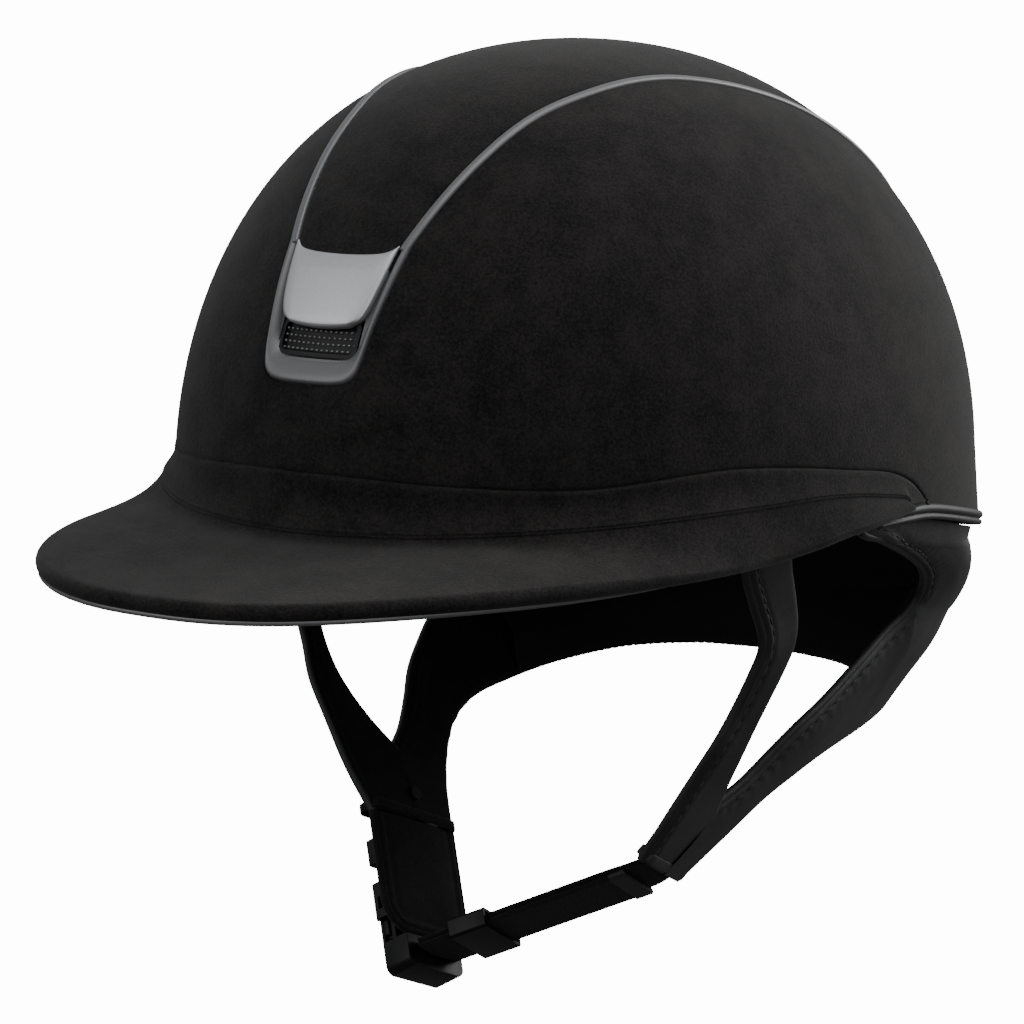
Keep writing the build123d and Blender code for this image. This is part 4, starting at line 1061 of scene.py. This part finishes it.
rear_outer, rear_inner = leather_piece(rear_grid, rear_normals, ear_line, foot_line, 3)
front_outer, front_inner = leather_piece(front_grid, front_normals, front_front, front_rear, 23, groove=0.4,
                                         pucker=0.12, belly=0.3)
for label, outer, inner, node in (("rear_strap", rear_outer, rear_inner, "rear_strap"),
                                  ("front_strap", front_outer, front_inner, "front_strap")):
    face = panel_object(f"{label}_leather_left", [outer], LEATHER)
    back = panel_object(f"{label}_suede_left", [inner], INNER_SUEDE)
    extra = ["strap_junction_left"] if label == "front_strap" else []
    extra_right = ["strap_junction_right"] if label == "front_strap" else []
    place(add_mirrored(face, f"{label}_leather_right"), "helmet", "leather", f"{node}_right", *extra_right)
    place(add_mirrored(back, f"{label}_suede_right"), "helmet", "leather")
    place(face, "helmet", "leather", f"{node}_left", *extra)
    place(back, "helmet", "leather")

for label, line in (("ear_binding", ear_line), ("front_binding", front_front)):
    bead = tube_object(f"{label}_left", line, BIND_RADIUS, BINDING, steps=12)
    place(add_mirrored(bead, f"{label}_right"), "helmet", "leather")
    place(bead, "helmet", "leather")

for label, grid, normals, edge in (("ear_stitch", nape_grid, nape_normals, ear_line[:strap_split + 8]),
                                   ("rear_top_stitch", rear_grid, rear_normals, ear_line[strap_split:]),
                                   ("front_stitch", front_grid, front_normals, front_front)):
    row = stitch_row(f"{label}_left", grid, normals, edge, STITCH_INSET, THREAD)
    place(add_mirrored(row, f"{label}_right"), "helmet", "leather")
    place(row, "helmet", "leather")


# =================================================================================================
# Chin strap, buckle side and cuffs
# =================================================================================================
FAR_END = array([-45.0, -27.5, -94.0])
FAR_DOWN = unit(array([0.478, -0.535, -0.697]))
FAR_OUT = unit(array([-0.85068, -0.08841, -0.51553]))
FAR_SIDE = unit(array([-0.21443, -0.84029, 0.49793]))
CHIN_DIR = unit(array([-0.87535, -0.29939, -0.37965]))
CHIN_OUT = unit(array([0.48346, -0.53297, -0.69442]))
CHIN_ACROSS = unit(np.cross(CHIN_OUT, CHIN_DIR))
CHIN_LENGTH = 77.12


def far(s, w, n):
    s, w, n = np.broadcast_arrays(*(np.asarray(v, float)[..., None] for v in (s, w, n)))
    return FAR_END + FAR_DOWN * s + FAR_SIDE * w + FAR_OUT * n


def near_chin(t, w, m):
    t, w, m = np.broadcast_arrays(*(np.asarray(v, float)[..., None] for v in (t, w, m)))
    return STRAP_END + CHIN_DIR * t + CHIN_ACROSS * w + CHIN_OUT * m


def ribbon_profile(half_width, half_thick, steps=22):
    """Flat strap section with rounded, slightly thicker selvedges."""
    across = np.linspace(1, -1, steps)
    bead = half_thick * (1 + 0.16 * np.exp(-((1 - np.abs(across)) / 0.07) ** 2))
    close = np.sqrt(np.clip(1 - ((np.abs(across) - (1 - half_thick / half_width))
                                 / (half_thick / half_width)).clip(0) ** 2, 0.02, 1))
    height = bead * close
    upper = list(zip(across * half_width, height))
    return upper + [(w, -h) for w, h in upper[::-1]]


def ribbon(name, path, across, half_width, half_thick, material):
    across = np.broadcast_to(across, path.shape)
    way = tangents(path)
    across = unit(across - way * np.sum(across * way, axis=1, keepdims=True))
    return sweep_object(name, path, across, unit(np.cross(way, across)), ribbon_profile(half_width, half_thick),
                        material)


bend_path = smooth_path(np.stack([STRAP_END - STRAP_DOWN * 12, STRAP_END - STRAP_DOWN * 6, STRAP_END - STRAP_DOWN * 1.2,
                                  near_chin(4.5, 0, 0.15), near_chin(12, 0, 0.0), near_chin(30, 0, 0.0),
                                  near_chin(55, 0, 0.0), near_chin(CHIN_LENGTH + 0.6, 0, 0.0)]), 150)
turn = smoothstep(np.linspace(0, 1, 150) * 5.0)[:, None]
strap_side = STRAP_ACROSS * np.sign(STRAP_ACROSS @ CHIN_ACROSS)
chin = ribbon("chin_webbing_band", bend_path, strap_side * (1 - turn) + CHIN_ACROSS * turn, 10.0, 0.8, WEBBING)
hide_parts("chin_webbing")
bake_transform(chin)

tail_path = smooth_path(np.stack([near_chin(10.5, 0, 1.85), near_chin(24, 0, 1.8), near_chin(45, 0, 1.75),
                                  near_chin(CHIN_LENGTH + 0.4, 0, 1.75)]), 110)
tail = ribbon("chin_tail_band", tail_path, CHIN_ACROSS, 10.0, 0.78, WEBBING)
place(tail, "chin_strap", "webbing", "chin_strap_tail")
tip_path = np.stack([near_chin(t, 0, 1.95) for t in np.linspace(6.8, 12.2, 12)])
tip = ribbon("chin_tail_tip", tip_path, CHIN_ACROSS, 10.4, 1.12, BINDING)
place(tip, "chin_strap", "leather", "tail_tip")

# Cuffs: leather loops round both strap ends.
for label, base, down, side, out, n_low, n_high in (
        ("left", STRAP_END, STRAP_DOWN, STRAP_ACROSS, unit(np.cross(STRAP_DOWN, STRAP_ACROSS)), -2.9, 2.9),
        ("right", FAR_END, FAR_DOWN, FAR_SIDE, FAR_OUT, -2.75, 5.5)):
    if label == "left" and out @ array([1.0, 0, 0]) < 0:
        out = -out
    half, corner = 18.3, 2.2
    loop = []
    for cx, cy, first in ((half - corner, n_high - corner, 0), (-half + corner, n_high - corner, 90),
                          (-half + corner, n_low + corner, 180), (half - corner, n_low + corner, 270)):
        for angle in np.radians(np.linspace(first, first + 90, 8)):
            loop.append((cx + corner * math.cos(angle), cy + corner * math.sin(angle)))
    loop = resample(array(loop + loop[:1]), 121)[:-1]
    line = base - down * 2.2 + side * loop[:, :1] + out * loop[:, 1:]
    way = unit(np.roll(line, -1, 0) - np.roll(line, 1, 0))
    along_strap = np.broadcast_to(down, line.shape)
    profile = [(1.6, 0.0), (1.45, 0.14), (1.1, 0.22), (0, 0.25), (-1.1, 0.22), (-1.45, 0.14), (-1.6, 0.0),
               (-1.45, -0.14), (-1.1, -0.22), (0, -0.25), (1.1, -0.22), (1.45, -0.14)]
    cuff = sweep_object(f"strap_cuff_{label}_loop", line, along_strap, unit(np.cross(way, along_strap)), profile,
                        LEATHER if label == "left" else INNER_SUEDE, closed=True)
    place(cuff, "helmet", "leather", f"strap_cuff_{label}")

# Padded keeper behind the buckle, with a bound edge and a zigzag seam at its top.
PAD_HALF, PAD_CORNER, PAD_END_S = 17.6, 9.0, 38.2


def pad_half_width(s):
    into = np.clip(s - (PAD_END_S - PAD_CORNER), 0, PAD_CORNER)
    return PAD_HALF - PAD_CORNER + np.sqrt(np.maximum(PAD_CORNER ** 2 - into ** 2, 0))


pad_s = np.concatenate([np.linspace(0.3, 29, 30), PAD_END_S - 9.2 * (1 - np.linspace(0, 1, 14)[1:]) ** 2])
pad_w = np.linspace(-1, 1, 44)
pad_faces = []
for side_sign in (1, -1):
    rows = []
    for s in pad_s:
        w = pad_w * pad_half_width(s)
        edge_gap = np.minimum(pad_half_width(s) - np.abs(w), (PAD_END_S - s) + 0.5)
        press = 0.5 * np.exp(-((edge_gap - 3.4) / 1.1) ** 2)
        body = (0.9 + 1.1 * smoothstep(edge_gap / 2.0)) + 0.5 * smoothstep((edge_gap - 4) / 8) - press
        rows.append(far(s, w, side_sign * body))
    pad_faces.append(np.stack(rows))
buckle_pad = panel_object("buckle_pad_cushion", pad_faces, INNER_SUEDE)
place(buckle_pad, "helmet", "leather", "buckle_pad")
corner_angles = np.radians(np.linspace(0, 90, 14))
bound = ([(s, PAD_HALF) for s in np.linspace(-3.5, 29, 20)]
         + [(PAD_END_S - 9 + 9 * math.sin(a), PAD_HALF - 9 + 9 * math.cos(a)) for a in corner_angles])
bound = array(bound + [(s, -w) for s, w in bound[::-1]])
bound = resample(bound, 160)
place(tube_object("buckle_pad_binding", far(bound[:, 0], bound[:, 1], np.zeros(160)), 1.3, INNER_SUEDE),
      "helmet", "leather")


def thread_dashes(name, ends, radius, material):
    """Short rounded dashes of thread between pairs of points."""
    vertices, faces = [], []
    for start, end in ends:
        way = unit(end - start)
        side = unit(np.cross(way, [0.3, 0.5, 0.8]))
        up = np.cross(side, way)
        base = len(vertices)
        for share, size in ((0.0, 0.25), (0.15, 0.9), (0.5, 1.0), (0.85, 0.9), (1.0, 0.25)):
            for angle in np.linspace(0, 2 * math.pi, 6, endpoint=False):
                vertices.append(start + (end - start) * share
                                + radius * size * (side * math.cos(angle) + up * math.sin(angle)))
        faces += grid_faces(5, 6, base, wrap=True)
    return make_object(name, vertices, faces, material)


zigzag = []
for index, w in enumerate(np.arange(-14.0, 14.0, 1.5)):
    low, high = (2.2, 5.6) if index % 2 else (5.6, 2.2)
    zigzag.append((far(low, w, 2.2), far(high, w + 1.5, 2.2)))
pad_stitch = resample(array([(s, PAD_HALF - 3.4) for s in (2, 29)]
                            + [(PAD_END_S - 9 + 5.6 * math.sin(a), PAD_HALF - 9 + 5.6 * math.cos(a))
                               for a in corner_angles]), 20)
pad_stitch = np.concatenate([pad_stitch, (pad_stitch * array([1, -1]))[::-1]])
pad_stitch = resample(pad_stitch, 61)
for a, b in zip(pad_stitch, pad_stitch[1:]):
    a, b = a + (b - a) * 0.12, a + (b - a) * 0.82
    zigzag.append((far(a[0], a[1], 2.05), far(b[0], b[1], 2.05)))
place(thread_dashes("buckle_pad_stitches", zigzag, 0.22, THREAD), "helmet", "leather")

webbing_path = smooth_path(np.stack([far(-10, 0, 3.15), far(-4, 0, 3.4), far(1.5, 0, 4.3), far(6.5, 0, 5.4),
                                     far(11, 0, 5.5), far(21.4, 0, 5.5)]), 90)
buckle_band = ribbon("buckle_webbing_band", webbing_path, FAR_SIDE, 10.0, 0.8, WEBBING)
place(buckle_band, "helmet", "webbing", "buckle_webbing")


def softened(node, width, material, body, slot):
    """A CAD piece shown with its edges rounded over."""
    import bmesh
    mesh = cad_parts[node].data.copy()
    mesh.name = f"{node}_rounded"
    work = bmesh.new()
    work.from_mesh(mesh)
    bmesh.ops.remove_doubles(work, verts=work.verts, dist=4e-6)
    bmesh.ops.dissolve_limit(work, angle_limit=math.radians(2.0), verts=work.verts, edges=work.edges)
    sharp = [edge for edge in work.edges
             if len(edge.link_faces) == 2 and edge.calc_face_angle(0) > math.radians(30)]
    bmesh.ops.bevel(work, geom=sharp, offset=width * MM, segments=3, profile=0.5, affect="EDGES",
                    clamp_overlap=True)
    work.to_mesh(mesh)
    work.free()
    mesh.materials.clear()
    mesh.materials.append(material)
    mesh.polygons.foreach_set("use_smooth", [True] * len(mesh.polygons))
    mesh.set_sharp_from_angle(angle=math.radians(38))
    piece = bpy.data.objects.new(f"{node}_rounded", mesh)
    bpy.context.scene.collection.objects.link(piece)
    return place(piece, body, slot, node)


for node, width, body in (("buckle_socket", 0.9, "helmet"), ("buckle_plug", 0.8, "chin_strap"),
                          ("strap_adjuster", 0.6, "adjuster"), ("strap_keeper", 0.9, "keeper"),
                          ("release_arm_front", 0.5, "front_arm"), ("release_arm_rear", 0.5, "rear_arm")):
    softened(node, width, PLASTIC, body, "buckle_plastic")


# =================================================================================================
# Comfort liner: knit carrier and quilted pads
# =================================================================================================
def inner_point(angle, raised, depth):
    return lifted(rim_point(angle, raised), -np.broadcast_to(np.asarray(depth, float), np.shape(angle)))


def closed_pad(name, face, back, material):
    loop_front = np.concatenate([face[0], face[1:, -1], face[-1, -2::-1], face[-2:0:-1, 0], face[:1, 0]])
    loop_back = np.concatenate([back[0], back[1:, -1], back[-1, -2::-1], back[-2:0:-1, 0], back[:1, 0]])
    return panel_object(name, [face, back, np.stack([loop_front, loop_back])], material, weld=0.01)


def quilt(a, b, across, up):
    """Diamond quilting between 0 on the seams and 1 in the middle of each cell."""
    first = np.abs(np.sin(math.pi * (a * across + b * up)))
    second = np.abs(np.sin(math.pi * (a * across - b * up)))
    return np.minimum(first, second) ** 0.45


def wall_pad(name, first, last, low, high, cells):
    rows, columns = 46, int(60 + abs(last - first) * 90)
    a, b = np.meshgrid(np.linspace(0, 1, columns), np.linspace(0, 1, rows))
    angle = first + (last - first) * a
    raised = low + (high - low) * b
    span = abs(last - first) * 90
    gap = np.minimum(np.minimum(a, 1 - a) * span, np.minimum(b, 1 - b) * (high - low))
    lip = np.sqrt(np.clip(gap / 3.2, 0, 1) * (2 - np.clip(gap / 3.2, 0, 1)))
    puff = lip * (3.6 + 1.6 * quilt(a, b, cells, 1.5) + 0.4 * smoothstep((gap - 3) / 6))
    face = inner_point(angle, raised, 27.7 + puff)
    back = inner_point(angle, raised, np.full(a.shape, 27.6))
    pad = closed_pad(name, face, back, LINING)
    place(pad, "comfort_liner", "lining", name.replace("_quilted", ""))


wall_pad("brow_pad_quilted", -0.86, 0.86, 6, 38, 6)
wall_pad("rear_pad_quilted", math.pi - 0.80, math.pi + 0.80, 14, 48, 6)
wall_pad("side_pad_left_quilted", 1.06, 2.05, 8, 40, 4)
wall_pad("side_pad_right_quilted", -1.06, -2.05, 8, 40, 4)


def roof_point(x, y, depth):
    x, y, depth = np.broadcast_arrays(np.asarray(x, float), np.asarray(y, float), np.asarray(depth, float))
    origin = np.stack([x, y, np.zeros_like(x)], -1)
    return lifted(cast(origin, np.broadcast_to(array([0, 0, 1]), origin.shape)), -depth)


ring_a, ring_b = np.meshgrid(np.linspace(0, 2 * math.pi, 121), np.linspace(0, 1, 22))
ring_x = (17 + 17.5 * ring_b) * np.cos(ring_a)
ring_y = 8 + (31 + 19.5 * ring_b) * np.sin(ring_a)
ring_puff = np.sqrt(np.clip(4 * ring_b * (1 - ring_b), 0, 1)) * (4.2 + 1.2 * np.abs(np.sin(ring_a * 5)) ** 0.5)
bar_a, bar_b = np.meshgrid(np.linspace(-1, 1, 41), np.linspace(-1, 1, 14))
bar_puff = np.sqrt(np.clip(1 - bar_b ** 2, 0, 1)) * (4.0 + 0.8 * np.abs(np.sin(bar_a * 5)) ** 0.5)
crown_grids = [roof_point(ring_x, ring_y, 27.7 + ring_puff), roof_point(ring_x, ring_y, 27.6),
               roof_point(bar_a * 17.5, 8 + bar_b * 5.5, 27.7 + bar_puff),
               roof_point(bar_a * 17.5, 8 + bar_b * 5.5, 27.6)]
crown_pad = panel_object("crown_pad_quilted", crown_grids, LINING, weld=0.15)
place(crown_pad, "comfort_liner", "lining", "crown_pad")

band_a, band_b = np.meshgrid(np.linspace(-math.pi, math.pi, 241), np.linspace(6.5, 45.5, 18))
carrier_grids = [inner_point(band_a, band_b, 26.5)]
for along_x in (True, False):
    reach_a, reach_b = np.meshgrid(np.linspace(-1, 1, 90), np.linspace(-7.6, 7.6, 9))
    x, y = (reach_a * 76, reach_b) if along_x else (reach_b, 2 + reach_a * 98)
    carrier_grids.append(roof_point(x, y, 26.5))
carrier = panel_object("liner_carrier_knit", carrier_grids, LINING)
add_modifier(carrier, "SOLIDIFY", thickness=0.7 * MM, offset=0.0)
place(carrier, "comfort_liner", "lining", "liner_carrier")


# =================================================================================================
# Finishes on the CAD pieces that stay in view
# =================================================================================================
KEPT = {"outer_shell": SHELL, "eps_liner": FOAM, "air_duct": PLASTIC, "nape_anchor_tabs": SHELL,
        "hook_dots": TAPE, "anchor_rivets": RIVET, "strap_rivets": PLASTIC, "peak_board": SHELL}
for node, material in KEPT.items():
    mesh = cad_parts[node].data
    mesh.materials.clear()
    mesh.materials.append(material)


# =================================================================================================
# Stage, lights and camera
# =================================================================================================
# A white shell all round stands for the photo's blank ground. Only the camera sees it.
BACKDROP_RADIUS = 6.0
BACKDROP_GLOW = 14
bpy.ops.mesh.primitive_uv_sphere_add(segments=48, ring_count=24, radius=BACKDROP_RADIUS)
backdrop = bpy.context.object
backdrop.name = "white_backdrop"
paper = bpy.data.materials.new("studio_paper")
paper.use_nodes = True
glow = paper.node_tree.nodes["Principled BSDF"].inputs
glow["Base Color"].default_value = (0, 0, 0, 1)
glow["Specular IOR Level"].default_value = 0
glow["Emission Color"].default_value = (1, 1, 1, 1)
glow["Emission Strength"].default_value = BACKDROP_GLOW
backdrop.data.materials.append(paper)
backdrop.visible_diffuse = False
backdrop.visible_glossy = False
backdrop.visible_shadow = False

world = bpy.data.worlds.new("studio")
bpy.context.scene.world = world
world.use_nodes = True
sky = world.node_tree.nodes["Background"]
sky.inputs["Strength"].default_value = 0.75
sky_place = world.node_tree.nodes.new("ShaderNodeTexCoord")
sky_split = world.node_tree.nodes.new("ShaderNodeSeparateXYZ")
sky_ramp = world.node_tree.nodes.new("ShaderNodeValToRGB")
world.node_tree.links.new(sky_place.outputs["Generated"], sky_split.inputs["Vector"])
world.node_tree.links.new(sky_split.outputs["Z"], sky_ramp.inputs["Fac"])
world.node_tree.links.new(sky_ramp.outputs["Color"], sky.inputs["Color"])
sky_ramp.color_ramp.elements[0].color = (0.20, 0.20, 0.21, 1)
sky_ramp.color_ramp.elements[1].position = 0.35
sky_ramp.color_ramp.elements[1].color = (0.95, 0.97, 1.0, 1)


def softbox(name, place_at, target, width, height, power):
    light = bpy.data.lights.new(name, "AREA")
    light.shape = "RECTANGLE"
    light.size, light.size_y = width, height
    light.energy = power
    lamp = bpy.data.objects.new(name, light)
    bpy.context.scene.collection.objects.link(lamp)
    lamp.location = place_at
    lamp.rotation_euler = (Vector(target) - Vector(place_at)).to_track_quat("-Z", "Y").to_euler()
    return lamp


azimuth, elevation, roll = (math.radians(v) for v in (CAMERA_AZIMUTH, CAMERA_ELEVATION, CAMERA_ROLL))
back = Vector((math.sin(azimuth) * math.cos(elevation), -math.cos(azimuth) * math.cos(elevation),
               math.sin(elevation)))
flat_right = Vector((math.cos(azimuth), math.sin(azimuth), 0))
flat_up = back.cross(flat_right)
right = flat_right * math.cos(roll) + flat_up * math.sin(roll)
up = flat_up * math.cos(roll) - flat_right * math.sin(roll)


def studio(across, above, toward):
    """A place given from the camera's side: to its right, above, and towards it."""
    return right * across + Vector((0, 0, 1)) * above + back * toward


softbox("key_overhead", studio(0.45, 1.35, 0.25), (0, 0, 0.02), 1.3, 1.0, 16)
softbox("rim_right", studio(1.3, 0.7, -0.55), (0, 0, 0.05), 0.9, 1.2, 30)
softbox("fill_left", studio(-1.3, 0.45, 0.7), (0, 0, 0), 1.0, 1.2, 9)
softbox("front_fill", studio(0.3, 0.1, 1.6), (0, 0, -0.03), 1.2, 0.9, 5)

camera_data = bpy.data.cameras.new("photo_camera")
camera_data.lens = CAMERA_LENS
camera_data.sensor_width = 36
camera_data.shift_x, camera_data.shift_y = CAMERA_SHIFT
camera_data.clip_start, camera_data.clip_end = 0.05, 20
camera = bpy.data.objects.new("photo_camera", camera_data)
bpy.context.scene.collection.objects.link(camera)
place_at = back * CAMERA_DISTANCE
camera.matrix_world = Matrix(((right.x, up.x, back.x, place_at.x), (right.y, up.y, back.y, place_at.y),
                              (right.z, up.z, back.z, place_at.z), (0, 0, 0, 1)))
bpy.context.scene.camera = camera
